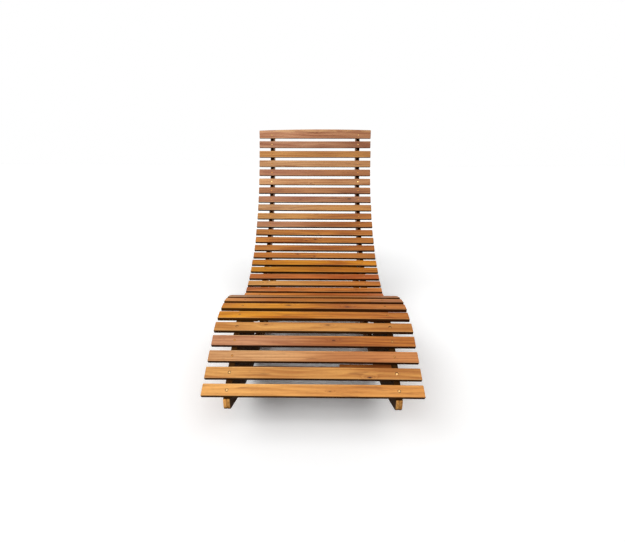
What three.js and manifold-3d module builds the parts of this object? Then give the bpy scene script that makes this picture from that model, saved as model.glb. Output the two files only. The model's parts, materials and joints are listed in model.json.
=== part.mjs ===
// Slatted rocking chaise lounge of oiled acacia, in millimetres.
// +X runs across the seat, +Y from the foot end to the head end, and +Z up.
// The origin is on the floor, under the middle of the lounger.
// The side view is drawn as points (along, up): the first number becomes Y and the second Z.
import * as THREE from "three";
import { mergeVertices } from "three/addons/utils/BufferGeometryUtils.js";
import Module from "manifold-3d";

const wasm = await Module();
wasm.setup();

// Clearances
const FIT_GAP = 0.3;
const CUT_OVERRUN = 4;

// Cross slats
const SLAT_COUNT = 35;
const SLAT_PITCH = 50.1;
const SLAT_LENGTH = 600;
const SLAT_WIDTH = 35;
const SLAT_THICKNESS = 12;
const SLAT_EDGE_RADIUS = 2.5;
const SLAT_CORNER_STEPS = 2;

// Head slat: it has the other slats' lower edge, and a bowed upper edge that stands higher
const HEAD_SLAT_END_WIDTH = 42;
const HEAD_SLAT_BOW = 5;
const HEAD_SLAT_BEVEL = 1.5;
const HEAD_SLAT_BOW_STEPS = 12;

// Line of the slat centres, from the foot slat over the knee and through the seat to the head slat.
// Angles are the slope of that line, and a rise towards the head end is positive.
const FOOT_HEIGHT = 180;
const FOOT_LENGTH = 155;
const FOOT_ANGLE = 32;
const KNEE_RADIUS = 310;
const KNEE_END_ANGLE = -34.5;
const KNEE_END_LENGTH = 15;
const SEAT_RADIUS = 276;
const SEAT_END_ANGLE = 13;
const BACK_RADIUS = 772;

// Side rails
const BOARD_THICKNESS = 18;
const RAIL_SPREAD = 463;
const RAIL_DEPTH = 75;
const RAIL_FACETS_PER_SLAT = 3;
const RAIL_HEAD_OVERHANG = 15;
const RAIL_HEAD_RADIUS = 30;
const RAIL_HEAD_STEPS = 6;
const RAIL_LAP_START = 872;
const RAIL_LAP_LENGTH = 130;

// Rockers: one arc, which touches the floor below the lounger's centre of mass
const ROCKER_RADIUS = 2090;
const ROCKER_DEPTH = 65;
const ROCKER_TOUCH_REACH = 711;
const ROCKER_TAIL_REACH = 1225;
const ROCKER_FACET = 56;
const ROCKER_TAIL_STEPS = 8;
const NOSE_REACH = 16;
const NOSE_RADIUS = 18;
const NOSE_STEPS = 5;

// Cheeks: each rocker is wide behind its nose and fills the corner under the rail.
// The cheek's rear edge leaves the rail at a distance and ends at a reach, where it sinks into the rocker.
const CHEEK_DISTANCE = 468;
const CHEEK_REACH = 410;
const CHEEK_RADIUS = 100;
const CHEEK_SINK = 1;
const CHEEK_STEPS = 8;

// Posts and braces between the rails and the rockers
const POST_DISTANCE = 735;
const POST_WIDTH = 60;
const BRACE_DISTANCE = 1056;
const BRACE_FOOT_REACH = 1122;
const BRACE_WIDTH = 60;
const TENON_WIDTH = 34;
const TENON_THICKNESS = 8;

// Cross stretchers
const POST_STRETCHER_WIDTH = 46;
const BRACE_STRETCHER_WIDTH = 60;
const STRETCHER_THICKNESS = 19;
const STRETCHER_EDGE_RADIUS = 3;

// Front stretcher: it lies close under the second slat, and part of its rear upper edge is waney
const FRONT_STRETCHER_DISTANCE = 70;
const FRONT_STRETCHER_WIDTH = 46;
const FRONT_STRETCHER_THICKNESS = 28;
const WANE_WIDTH = 8.5;
const WANE_DEPTH = 22;
const WANE_END = 75;

// Bolts with low domed heads
const BOLT_RADIUS = 3;
const BOLT_HEAD_RADIUS = 8;
const BOLT_HEAD_HEIGHT = 3;
const BOLT_TIP_CHAMFER = 0.8;
const BOLT_NUT_LENGTH = 9;
const BOLT_STRETCHER_REACH = 38;
const BOLT_SIDES = 16;
const BOLT_DOME_STEPS = 3;
const NOSE_BOLT_REACHES = [10, 50];
const LAP_BOLT_SHARES = [0.25, 0.75];
const CORNER_REACH_SHARE = 0.1;

// Worked out from the sizes above
const HEAD_DISTANCE = (SLAT_COUNT - 1) * SLAT_PITCH;
const RAIL_CENTRE = RAIL_SPREAD / 2;
const SEAT_OFFSET = SLAT_THICKNESS / 2 + FIT_GAP;
const RAIL_MIDDLE = SEAT_OFFSET + RAIL_DEPTH / 2;
const ROCKER_MIDDLE_RADIUS = ROCKER_RADIUS - ROCKER_DEPTH / 2;
const HOLE_RADIUS = BOLT_RADIUS + FIT_GAP;
const LAP_END = RAIL_LAP_START + RAIL_LAP_LENGTH;
const STRETCHER_LENGTH = RAIL_SPREAD - BOARD_THICKNESS - 2 * FIT_GAP;
const SIDES = { left: -1, right: 1 };

// Colours
const SLAT_TONES = [0xc0813f, 0xa9672f, 0xcb9150, 0xb3713a, 0xbd8450];
const FRAME_TONE = 0x9a5c2c;
const STEEL_TONE = 0xb9b3a4;

const STRETCHES = [
  { length: FOOT_LENGTH, bend: 0 },
  { length: KNEE_RADIUS * THREE.MathUtils.degToRad(FOOT_ANGLE - KNEE_END_ANGLE), bend: -1 / KNEE_RADIUS },
  { length: KNEE_END_LENGTH, bend: 0 },
  { length: SEAT_RADIUS * THREE.MathUtils.degToRad(SEAT_END_ANGLE - KNEE_END_ANGLE), bend: 1 / SEAT_RADIUS },
  { length: Infinity, bend: 1 / BACK_RADIUS },
];

// Point, slope and directions of the slat line at a distance along it from the foot slat
function slatLine(run) {
  const at = new THREE.Vector2(0, FOOT_HEIGHT);
  let angle = THREE.MathUtils.degToRad(FOOT_ANGLE);
  let left = run;
  for (const { length, bend } of STRETCHES) {
    const step = Math.min(left, length);
    const next = angle + step * bend;
    if (bend === 0) {
      at.x += step * Math.cos(angle);
      at.y += step * Math.sin(angle);
    } else {
      at.x += (Math.sin(next) - Math.sin(angle)) / bend;
      at.y += (Math.cos(angle) - Math.cos(next)) / bend;
    }
    angle = next;
    left -= step;
    if (left <= 0) {
      break;
    }
  }
  const along = new THREE.Vector2(Math.cos(angle), Math.sin(angle));
  const out = new THREE.Vector2(-along.y, along.x);
  return { at, angle, along, out };
}

// Point at an offset below the slat line
function linePoint(run, offset) {
  const { at, out } = slatLine(run);
  return at.clone().addScaledVector(out, -offset);
}

function slatRun(index) {
  return index * SLAT_PITCH;
}

// Point on the flat seat that a rail has under one slat
function seatPoint(index, run, offset) {
  const { at, along, out } = slatLine(slatRun(index));
  return at.clone().addScaledVector(out, -offset).addScaledVector(along, run - slatRun(index));
}

// Corner between the flat seats of two neighbouring slats, or a small step where they don't meet midway
function seatCorner(index, offset) {
  const run = slatRun(index) + SLAT_PITCH / 2;
  const here = seatPoint(index, run, offset);
  const there = seatPoint(index + 1, run, offset);
  const a = slatLine(slatRun(index)).along;
  const b = slatLine(slatRun(index + 1)).along;
  const turn = a.cross(b);
  const reach = turn === 0 ? Infinity : there.clone().sub(here).cross(b) / turn;
  if (Math.abs(reach) > SLAT_PITCH * CORNER_REACH_SHARE) {
    return [here, there];
  }
  return [here.addScaledVector(a, reach)];
}

// Slats whose far seat corner lies between two distances along the slat line
function seatsBetween(from, to) {
  const indices = [];
  for (let index = 0; index < SLAT_COUNT - 1; index += 1) {
    const corner = slatRun(index) + SLAT_PITCH / 2;
    if (corner > from && corner < to) {
      indices.push(index);
    }
  }
  return indices;
}

function nearestSlat(run) {
  return THREE.MathUtils.clamp(Math.round(run / SLAT_PITCH), 0, SLAT_COUNT - 1);
}

// Edge of flat seats at an offset below the slat line
function seatEdge(from, to, offset) {
  const corners = seatsBetween(from, to).flatMap((index) => seatCorner(index, offset));
  return [seatPoint(nearestSlat(from), from, offset), ...corners, seatPoint(nearestSlat(to), to, offset)];
}

// Smooth edge at an offset below the slat line, with a few short facets under each slat
function smoothEdge(from, to, offset) {
  const facet = SLAT_PITCH / RAIL_FACETS_PER_SLAT;
  const first = Math.floor(from / facet) + 1;
  const count = Math.ceil(to / facet) - first;
  const runs = [from, ...Array.from({ length: count }, (_, index) => (first + index) * facet), to];
  return runs.map((run) => linePoint(run, offset));
}

// Side view of a rail between two distances along the slat line
function railOutline(from, to, grow = 0) {
  const upper = seatEdge(from, to, SEAT_OFFSET - grow);
  const lower = smoothEdge(from, to, SEAT_OFFSET + RAIL_DEPTH + grow);
  return [...upper, ...lower.reverse()];
}

function rockerPoint(angle, radius) {
  return new THREE.Vector2(
    ROCKER_TOUCH_REACH + radius * Math.sin(angle),
    ROCKER_RADIUS - radius * Math.cos(angle),
  );
}

function rockerAngle(reach, radius) {
  return Math.asin((reach - ROCKER_TOUCH_REACH) / radius);
}

// Angles of the corners along a rocker, from behind its rounded nose to its tail.
// One flat facet is centred on the touch line.
function rockerAngles() {
  const step = ROCKER_FACET / ROCKER_RADIUS;
  const first = Math.ceil(rockerAngle(NOSE_RADIUS - NOSE_REACH, ROCKER_RADIUS) / step);
  const last = Math.floor(rockerAngle(ROCKER_TAIL_REACH, ROCKER_RADIUS) / step);
  return Array.from({ length: last - first }, (_, index) => (first + index + 1 / 2) * step);
}

// Round a corner with a few points on an arc
function roundedCorner(before, corner, after, radius, steps) {
  const toBefore = before.clone().sub(corner).normalize();
  const toAfter = after.clone().sub(corner).normalize();
  const half = Math.acos(toBefore.dot(toAfter)) / 2;
  const reach = radius / Math.tan(half);
  const middle = toBefore.clone().add(toAfter).normalize();
  const centre = corner.clone().addScaledVector(middle, radius / Math.sin(half));
  const start = corner.clone().addScaledVector(toBefore, reach).sub(centre);
  const turn = (Math.PI - 2 * half) * Math.sign(toBefore.cross(toAfter)) * -1;
  return Array.from({ length: steps + 1 }, (_, index) => {
    const angle = (turn * index) / steps;
    return start.clone().rotateAround(new THREE.Vector2(), angle).add(centre);
  });
}

// Lower edge of a rocker, from its upright nose to its tail
function rockerLowerEdge() {
  const arc = rockerAngles().map((angle) => rockerPoint(angle, ROCKER_RADIUS));
  const corner = rockerPoint(rockerAngle(-NOSE_REACH, ROCKER_RADIUS), ROCKER_RADIUS);
  const above = corner.clone().setY(corner.y + ROCKER_DEPTH);
  return [...roundedCorner(above, corner, arc[0], NOSE_RADIUS, NOSE_STEPS), ...arc];
}

// Side view of a rocker with its rounded tail, or the same grown a little to cut another piece
function rockerOutline(grow = 0) {
  const tailAngle = rockerAngle(ROCKER_TAIL_REACH, ROCKER_MIDDLE_RADIUS);
  const tail = rockerPoint(tailAngle, ROCKER_MIDDLE_RADIUS);
  const round = Array.from({ length: ROCKER_TAIL_STEPS + 1 }, (_, index) => {
    const angle = tailAngle - Math.PI / 2 + (Math.PI * index) / ROCKER_TAIL_STEPS;
    const reach = new THREE.Vector2(Math.cos(angle), Math.sin(angle));
    return tail.clone().addScaledVector(reach, ROCKER_DEPTH / 2 + grow);
  });
  const topRadius = ROCKER_RADIUS - ROCKER_DEPTH - grow;
  const noseReach = -NOSE_REACH - grow;
  const noseTop = rockerPoint(rockerAngle(noseReach, topRadius), topRadius);
  const upper = rockerAngles().map((angle) => rockerPoint(angle, topRadius));
  if (grow === 0) {
    return [...rockerLowerEdge(), ...round, ...upper.reverse(), noseTop];
  }
  const noseLow = rockerPoint(rockerAngle(noseReach, ROCKER_RADIUS + grow), ROCKER_RADIUS + grow);
  const lower = rockerAngles().map((angle) => rockerPoint(angle, ROCKER_RADIUS + grow));
  return [noseLow, ...lower, ...round, ...upper.reverse(), noseTop];
}

// Side view of a cheek, with its upper edge inside the rail and its lower edge inside the rocker
function cheekOutline() {
  const along = smoothEdge(slatRun(1), CHEEK_DISTANCE, RAIL_MIDDLE);
  const edgeRadius = ROCKER_RADIUS - ROCKER_DEPTH + CHEEK_SINK;
  const [corner, beyond] = [CHEEK_REACH, CHEEK_REACH + CHEEK_RADIUS].map((reach) => {
    return rockerPoint(rockerAngle(reach, edgeRadius), edgeRadius);
  });
  const rear = roundedCorner(along.at(-1), corner, beyond, CHEEK_RADIUS, CHEEK_STEPS);
  return [...along, ...rear, rockerMiddle(rear.at(-1).x), rockerMiddle(along[0].x)];
}

// Everything behind the nose and above the rockers' lower edge
function aboveRockerOutline() {
  const lower = rockerLowerEdge();
  const top = slatLine(HEAD_DISTANCE).at.y;
  return [...lower, new THREE.Vector2(lower.at(-1).x, top), new THREE.Vector2(-NOSE_REACH, top)];
}

// Space over the rails' seats at the foot end, where a rocker must not reach
function overSeatsOutline() {
  const over = seatEdge(-RAIL_DEPTH, FOOT_LENGTH, SEAT_OFFSET - RAIL_DEPTH);
  return [...seatEdge(-RAIL_DEPTH, FOOT_LENGTH, SEAT_OFFSET), ...over.reverse()];
}

// Rectangle drawn between two points of the side view
function barOutline(from, to, width, extra = 0) {
  const along = to.clone().sub(from).normalize();
  const across = new THREE.Vector2(-along.y, along.x).multiplyScalar(width / 2 + extra);
  const start = from.clone().addScaledVector(along, -extra);
  const end = to.clone().addScaledVector(along, extra);
  return [
    start.clone().sub(across),
    end.clone().sub(across),
    end.clone().add(across),
    start.clone().add(across),
  ];
}

function roundedBarShape(width, thickness, radius) {
  const shape = new THREE.Shape();
  const x = width / 2;
  const y = thickness / 2;
  shape.moveTo(-x + radius, -y);
  shape.lineTo(x - radius, -y);
  shape.absarc(x - radius, -y + radius, radius, -Math.PI / 2, 0);
  shape.absarc(x - radius, y - radius, radius, 0, Math.PI / 2);
  shape.absarc(-x + radius, y - radius, radius, Math.PI / 2, Math.PI);
  shape.absarc(-x + radius, -y + radius, radius, Math.PI, (3 * Math.PI) / 2);
  return shape;
}

// Turn a geometry drawn in the side view and extruded along +Z into the part's axes
function fromSideView(geometry) {
  const axes = new THREE.Matrix4().makeBasis(
    new THREE.Vector3(0, 1, 0),
    new THREE.Vector3(0, 0, 1),
    new THREE.Vector3(1, 0, 0),
  );
  return geometry.applyMatrix4(axes);
}

function asSolid(geometry) {
  geometry.deleteAttribute("normal");
  geometry.deleteAttribute("uv");
  const merged = mergeVertices(geometry);
  return new wasm.Manifold(new wasm.Mesh({
    numProp: 3,
    vertProperties: new Float32Array(merged.attributes.position.array),
    triVerts: new Uint32Array(merged.index.array),
  }));
}

function asGeometry(solid) {
  const { vertProperties, triVerts } = solid.getMesh();
  const geometry = new THREE.BufferGeometry();
  geometry.setAttribute("position", new THREE.BufferAttribute(new Float32Array(vertProperties), 3));
  geometry.setIndex(new THREE.BufferAttribute(new Uint32Array(triVerts), 1));
  geometry.computeVertexNormals();
  return geometry;
}

// Solid with a side-view outline, between two distances across the lounger
function board(outline, fromX, toX) {
  const options = { depth: Math.abs(toX - fromX), bevelEnabled: false, curveSegments: 1 };
  const geometry = fromSideView(new THREE.ExtrudeGeometry(new THREE.Shape(outline), options));
  geometry.translate(Math.min(fromX, toX), 0, 0);
  return asSolid(geometry);
}

// Distances across the lounger of one side's outer face, inner face and half-lap plane
function sidePlanes(side) {
  return {
    outer: side * (RAIL_CENTRE + BOARD_THICKNESS / 2),
    inner: side * (RAIL_CENTRE - BOARD_THICKNESS / 2),
    centre: side * RAIL_CENTRE,
    beyondOuter: side * (RAIL_CENTRE + BOARD_THICKNESS / 2 + CUT_OVERRUN),
    beyondInner: side * (RAIL_CENTRE - BOARD_THICKNESS / 2 - CUT_OVERRUN),
    halfGap: (side * FIT_GAP) / 2,
  };
}

function boltHole(side, place) {
  const length = BOARD_THICKNESS + 2 * CUT_OVERRUN;
  const geometry = new THREE.CylinderGeometry(HOLE_RADIUS, HOLE_RADIUS, length, BOLT_SIDES);
  geometry.rotateZ(Math.PI / 2);
  geometry.translate(side * RAIL_CENTRE, place.x, place.y);
  return asSolid(geometry);
}

function subtractAll(solid, cuts) {
  return cuts.reduce((rest, cut) => rest.subtract(cut), solid);
}

function railMiddle(run) {
  return linePoint(run, RAIL_MIDDLE);
}

function rockerMiddle(reach) {
  return rockerPoint(rockerAngle(reach, ROCKER_MIDDLE_RADIUS), ROCKER_MIDDLE_RADIUS);
}

const noseBolts = NOSE_BOLT_REACHES.map(rockerMiddle);
const lapBolts = LAP_BOLT_SHARES.map((share) => railMiddle(RAIL_LAP_START + share * RAIL_LAP_LENGTH));
const postTop = railMiddle(POST_DISTANCE);
const post = { top: postTop, foot: rockerMiddle(postTop.x), width: POST_WIDTH };
const brace = { top: railMiddle(BRACE_DISTANCE), foot: rockerMiddle(BRACE_FOOT_REACH), width: BRACE_WIDTH };

function strutCentre(strut) {
  return strut.top.clone().add(strut.foot).divideScalar(2);
}

function mortise(strut, side) {
  const reach = TENON_THICKNESS / 2 + FIT_GAP;
  const outline = barOutline(strut.foot, strut.top, TENON_WIDTH, FIT_GAP);
  return board(outline, side * (RAIL_CENTRE - reach), side * (RAIL_CENTRE + reach));
}

// Seat rail: it runs from the nose over the knee to the lap with the back rail
function seatRail(side) {
  const { outer, inner, centre, beyondInner, halfGap } = sidePlanes(side);
  const blank = board(railOutline(-RAIL_DEPTH, LAP_END), inner, outer);
  const trimmed = blank.intersect(board(aboveRockerOutline(), inner, outer));
  const lapCut = railOutline(RAIL_LAP_START - FIT_GAP, LAP_END + CUT_OVERRUN, CUT_OVERRUN);
  return subtractAll(trimmed, [
    board(rockerOutline(FIT_GAP), beyondInner, centre + halfGap),
    board(lapCut, beyondInner, centre + halfGap),
    mortise(post, side),
    ...noseBolts.map((place) => boltHole(side, place)),
    ...lapBolts.map((place) => boltHole(side, place)),
  ]);
}

// Side view of a back rail, from the lap to its rounded corner behind the head slat
function backRailOutline() {
  const end = HEAD_DISTANCE + RAIL_HEAD_OVERHANG;
  const offset = SEAT_OFFSET + RAIL_DEPTH;
  const upper = seatEdge(RAIL_LAP_START, end, SEAT_OFFSET);
  const lower = smoothEdge(RAIL_LAP_START, end - RAIL_HEAD_RADIUS, offset).reverse();
  const corner = linePoint(end, offset);
  const rounded = roundedCorner(upper.at(-1), corner, lower[0], RAIL_HEAD_RADIUS, RAIL_HEAD_STEPS);
  return [...upper, ...rounded, ...lower];
}

// Back rail: it runs from the lap to the head slat
function backRail(side) {
  const { outer, inner, centre, beyondOuter, halfGap } = sidePlanes(side);
  const blank = board(backRailOutline(), inner, outer);
  const lapCut = railOutline(RAIL_LAP_START - CUT_OVERRUN, LAP_END + FIT_GAP, CUT_OVERRUN);
  return subtractAll(blank, [
    board(lapCut, centre - halfGap, beyondOuter),
    mortise(brace, side),
    ...lapBolts.map((place) => boltHole(side, place)),
  ]);
}

// Rocker with its cheek: its inner half runs through the rail at the nose, and its outer half ends below it
function rocker(side) {
  const { outer, inner, centre, beyondInner, beyondOuter, halfGap } = sidePlanes(side);
  const rail = railOutline(-RAIL_DEPTH, POST_DISTANCE, FIT_GAP);
  const cheek = board(cheekOutline(), inner, outer).subtract(board(rail, beyondInner, beyondOuter));
  return subtractAll(board(rockerOutline(), inner, outer).add(cheek), [
    board(overSeatsOutline(), beyondInner, beyondOuter),
    board(rail, centre - halfGap, beyondOuter),
    mortise(post, side),
    mortise(brace, side),
    ...noseBolts.map((place) => boltHole(side, place)),
  ]);
}

// Post or brace with a tenon at both ends and a bolt hole for its stretcher
function strutSolid(strut, side) {
  const { outer, inner, beyondOuter, beyondInner } = sidePlanes(side);
  const blank = board(barOutline(strut.foot, strut.top, strut.width), inner, outer);
  const body = subtractAll(blank, [
    board(railOutline(POST_DISTANCE - POST_WIDTH, HEAD_DISTANCE, FIT_GAP), beyondInner, beyondOuter),
    board(rockerOutline(FIT_GAP), beyondInner, beyondOuter),
  ]);
  const tenon = board(
    barOutline(strut.foot, strut.top, TENON_WIDTH),
    side * (RAIL_CENTRE - TENON_THICKNESS / 2),
    side * (RAIL_CENTRE + TENON_THICKNESS / 2),
  );
  return body.add(tenon).subtract(boltHole(side, strutCentre(strut)));
}

// Stretcher drawn about its own centre
function stretcherBlank(width, thickness) {
  const shape = roundedBarShape(width, thickness, STRETCHER_EDGE_RADIUS);
  const options = { depth: STRETCHER_LENGTH, bevelEnabled: false, curveSegments: SLAT_CORNER_STEPS };
  const geometry = fromSideView(new THREE.ExtrudeGeometry(shape, options));
  return asSolid(geometry.translate(-STRETCHER_LENGTH / 2, 0, 0));
}

// Stretcher with a bolt hole in each end
function boltedStretcher(width) {
  const holes = Object.values(SIDES).map((side) => {
    const length = BOLT_STRETCHER_REACH + CUT_OVERRUN + FIT_GAP;
    const hole = new THREE.CylinderGeometry(HOLE_RADIUS, HOLE_RADIUS, length, BOLT_SIDES);
    hole.rotateZ(Math.PI / 2);
    hole.translate(side * (STRETCHER_LENGTH / 2 + CUT_OVERRUN - length / 2), 0, 0);
    return asSolid(hole);
  });
  return subtractAll(stretcherBlank(width, STRETCHER_THICKNESS), holes);
}

// Front stretcher, with the edge between its upper and rear faces cut away up to the end of the wane
function frontStretcher() {
  const low = new THREE.Vector2(FRONT_STRETCHER_WIDTH / 2 - WANE_DEPTH, -FRONT_STRETCHER_THICKNESS / 2);
  const high = new THREE.Vector2(FRONT_STRETCHER_WIDTH / 2, WANE_WIDTH - FRONT_STRETCHER_THICKNESS / 2);
  const along = high.clone().sub(low).setLength(CUT_OVERRUN);
  const beyond = new THREE.Vector2(high.x, low.y).addScaledVector(new THREE.Vector2(1, -1), WANE_DEPTH);
  const outline = [low.sub(along), high.add(along), beyond];
  const wane = board(outline, -STRETCHER_LENGTH / 2 - CUT_OVERRUN, WANE_END);
  return stretcherBlank(FRONT_STRETCHER_WIDTH, FRONT_STRETCHER_THICKNESS).subtract(wane);
}

// Bolt along +X, with the underside of its head at the origin
function boltGeometry(shankLength) {
  const points = [
    new THREE.Vector2(0, -shankLength),
    new THREE.Vector2(BOLT_RADIUS - BOLT_TIP_CHAMFER, -shankLength),
    new THREE.Vector2(BOLT_RADIUS, BOLT_TIP_CHAMFER - shankLength),
    new THREE.Vector2(BOLT_RADIUS, 0),
  ];
  for (let step = 0; step < BOLT_DOME_STEPS; step += 1) {
    const angle = (Math.PI * step) / (2 * BOLT_DOME_STEPS);
    points.push(new THREE.Vector2(BOLT_HEAD_RADIUS * Math.cos(angle), BOLT_HEAD_HEIGHT * Math.sin(angle)));
  }
  points.push(new THREE.Vector2(0, BOLT_HEAD_HEIGHT));
  return new THREE.LatheGeometry(points, BOLT_SIDES).rotateZ(-Math.PI / 2);
}

function slatGeometry() {
  const shape = roundedBarShape(SLAT_WIDTH, SLAT_THICKNESS, SLAT_EDGE_RADIUS);
  const options = { depth: SLAT_LENGTH, bevelEnabled: false, curveSegments: SLAT_CORNER_STEPS };
  const geometry = fromSideView(new THREE.ExtrudeGeometry(shape, options));
  return geometry.translate(-SLAT_LENGTH / 2, 0, 0);
}

// Head slat drawn flat, with its length along X and its bowed edge towards +Y
function headSlatGeometry() {
  const halfLength = SLAT_LENGTH / 2 - HEAD_SLAT_BEVEL;
  const low = HEAD_SLAT_BEVEL - SLAT_WIDTH / 2;
  const endTop = HEAD_SLAT_END_WIDTH - SLAT_WIDTH / 2 - HEAD_SLAT_BEVEL;
  const shape = new THREE.Shape();
  shape.moveTo(-halfLength, low);
  shape.lineTo(halfLength, low);
  for (let step = 0; step <= HEAD_SLAT_BOW_STEPS; step += 1) {
    const share = 1 - (2 * step) / HEAD_SLAT_BOW_STEPS;
    shape.lineTo(halfLength * share, endTop + HEAD_SLAT_BOW * (1 - share * share));
  }
  const geometry = new THREE.ExtrudeGeometry(shape, {
    depth: SLAT_THICKNESS - 2 * HEAD_SLAT_BEVEL,
    bevelEnabled: true,
    bevelThickness: HEAD_SLAT_BEVEL,
    bevelSize: HEAD_SLAT_BEVEL,
    bevelSegments: 1,
  });
  return geometry.translate(0, 0, HEAD_SLAT_BEVEL - SLAT_THICKNESS / 2);
}

function wood(tone) {
  return new THREE.MeshStandardMaterial({ color: tone, roughness: 0.55, metalness: 0 });
}

function steel() {
  return new THREE.MeshStandardMaterial({ color: STEEL_TONE, roughness: 0.35, metalness: 1 });
}

const lounger = new THREE.Group();

function addPiece(name, geometry, material) {
  const mesh = new THREE.Mesh(geometry, material);
  mesh.name = name;
  lounger.add(mesh);
  return mesh;
}

// Slats, numbered from the foot end
for (let index = 0; index < SLAT_COUNT; index += 1) {
  const isHead = index === SLAT_COUNT - 1;
  const name = isHead ? "head_slat" : `slat_${String(index + 1).padStart(2, "0")}`;
  const tone = SLAT_TONES[index % SLAT_TONES.length];
  const mesh = addPiece(name, isHead ? headSlatGeometry() : slatGeometry(), wood(tone));
  const { at, angle } = slatLine(slatRun(index));
  mesh.position.set(0, at.x, at.y);
  mesh.rotation.x = angle;
}

// Side frames
for (const [name, side] of Object.entries(SIDES)) {
  addPiece(`${name}_seat_rail`, asGeometry(seatRail(side)), wood(FRAME_TONE));
  addPiece(`${name}_back_rail`, asGeometry(backRail(side)), wood(FRAME_TONE));
  addPiece(`${name}_rocker`, asGeometry(rocker(side)), wood(FRAME_TONE));
  addPiece(`${name}_post`, asGeometry(strutSolid(post, side)), wood(FRAME_TONE));
  addPiece(`${name}_brace`, asGeometry(strutSolid(brace, side)), wood(FRAME_TONE));
}

// Stretchers, each with its width along an axis of the side view
function addStretcher(name, solid, centre, axis) {
  const mesh = addPiece(name, asGeometry(solid), wood(FRAME_TONE));
  mesh.position.set(0, centre.x, centre.y);
  mesh.rotation.x = axis.angle();
}

const front = slatLine(FRONT_STRETCHER_DISTANCE);
const frontCentre = front.at.clone().addScaledVector(front.out, -SEAT_OFFSET - FRONT_STRETCHER_WIDTH / 2);
addStretcher("front_stretcher", frontStretcher(), frontCentre, front.out);
for (const [name, strut, width] of [
  ["post_stretcher", post, POST_STRETCHER_WIDTH],
  ["brace_stretcher", brace, BRACE_STRETCHER_WIDTH],
]) {
  addStretcher(name, boltedStretcher(width), strutCentre(strut), strut.top.clone().sub(strut.foot));
}

// Bolts, put in from the outer faces
function addBolt(name, side, place, shankLength) {
  const mesh = addPiece(name, boltGeometry(shankLength), steel());
  mesh.position.set(side * (RAIL_CENTRE + BOARD_THICKNESS / 2 + FIT_GAP), place.x, place.y);
  mesh.rotation.z = side > 0 ? 0 : Math.PI;
}

const throughShank = BOARD_THICKNESS + FIT_GAP + BOLT_NUT_LENGTH;
const stretcherShank = BOARD_THICKNESS + BOLT_STRETCHER_REACH;
for (const [name, side] of Object.entries(SIDES)) {
  noseBolts.forEach((place, index) => addBolt(`${name}_nose_bolt_${index + 1}`, side, place, throughShank));
  lapBolts.forEach((place, index) => addBolt(`${name}_rail_bolt_${index + 1}`, side, place, throughShank));
  addBolt(`${name}_post_bolt`, side, strutCentre(post), stretcherShank);
  addBolt(`${name}_brace_bolt`, side, strutCentre(brace), stretcherShank);
}

// Stand the rockers' touching facets on the floor and centre the plan outline on the origin
const bounds = new THREE.Box3().setFromObject(lounger, true);
const plan = bounds.getCenter(new THREE.Vector3());
lounger.position.set(-plan.x, -plan.y, -bounds.min.z);

export default lounger;
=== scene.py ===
"""Rocking chaise lounge of oiled acacia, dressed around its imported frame.

Metres throughout. +X runs across the lounger, +Y from the foot end to the head end, and +Z up.
"""
from __future__ import annotations

import itertools
import json
import logging
import math
import random
from collections.abc import Callable, Iterator, Sequence
from contextlib import contextmanager
from dataclasses import dataclass, field
from enum import Enum

import bmesh
import bpy
from mathutils import Matrix, Vector

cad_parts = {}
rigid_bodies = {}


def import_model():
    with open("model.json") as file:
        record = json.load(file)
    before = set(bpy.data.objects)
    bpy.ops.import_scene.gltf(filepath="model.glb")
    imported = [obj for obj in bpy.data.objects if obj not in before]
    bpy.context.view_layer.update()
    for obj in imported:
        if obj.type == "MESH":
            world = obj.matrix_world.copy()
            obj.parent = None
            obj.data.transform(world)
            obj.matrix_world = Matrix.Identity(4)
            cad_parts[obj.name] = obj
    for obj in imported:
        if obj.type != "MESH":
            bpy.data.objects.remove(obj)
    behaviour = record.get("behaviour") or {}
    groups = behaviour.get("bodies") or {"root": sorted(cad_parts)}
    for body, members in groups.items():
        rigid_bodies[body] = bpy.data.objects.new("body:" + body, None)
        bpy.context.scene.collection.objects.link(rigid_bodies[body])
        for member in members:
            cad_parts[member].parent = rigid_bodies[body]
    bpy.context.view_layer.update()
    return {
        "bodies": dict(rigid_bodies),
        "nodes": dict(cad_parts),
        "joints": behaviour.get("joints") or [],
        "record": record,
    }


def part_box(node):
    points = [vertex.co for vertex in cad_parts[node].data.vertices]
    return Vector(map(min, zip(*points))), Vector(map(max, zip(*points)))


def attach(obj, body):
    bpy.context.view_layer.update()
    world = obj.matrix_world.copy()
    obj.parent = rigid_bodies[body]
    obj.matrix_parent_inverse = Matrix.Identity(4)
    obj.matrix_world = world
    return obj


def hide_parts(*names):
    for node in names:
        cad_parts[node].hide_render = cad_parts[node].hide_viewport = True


Triple = tuple[float, float, float]
Colour = tuple[float, float, float, float]
Socket = bpy.types.NodeSocket
Sockets = bpy.types.bpy_prop_collection

LOG = logging.getLogger("lounger")
BODY = "root"
MILLIMETRE = 0.001

SLAT_LENGTH = 0.600
SLAT_WIDTH = 0.035
SLAT_THICKNESS = 0.012
RAIL_CENTRE = 0.2315
BOARD_THICKNESS = 0.018
SIDES = {"left": -1, "right": 1}
NOSE_FACE = -0.694
SITTER_SIDE = (0.0, -0.7071, 0.7071)
BOLTS = ("nose_bolt_1", "nose_bolt_2", "rail_bolt_1", "rail_bolt_2", "post_bolt", "brace_bolt")
RIM_SHARE = 0.9


class Slot(Enum):
    """Material slots of the record."""

    SLATS = "slats"
    FRAME = "frame"
    FASTENERS = "fasteners"


def colour(code: str) -> Colour:
    """Turn a screen colour such as "#C08040" into linear light.

    Args:
        code: The colour as a hash sign and six hexadecimal digits.

    Returns:
        Red, green, blue and an alpha of one.
    """
    parts = [int(code[at : at + 2], 16) / 255 for at in (1, 3, 5)]
    linear = [part / 12.92 if part <= 0.04045 else ((part + 0.055) / 1.055) ** 2.4 for part in parts]
    return linear[0], linear[1], linear[2], 1.0


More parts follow.
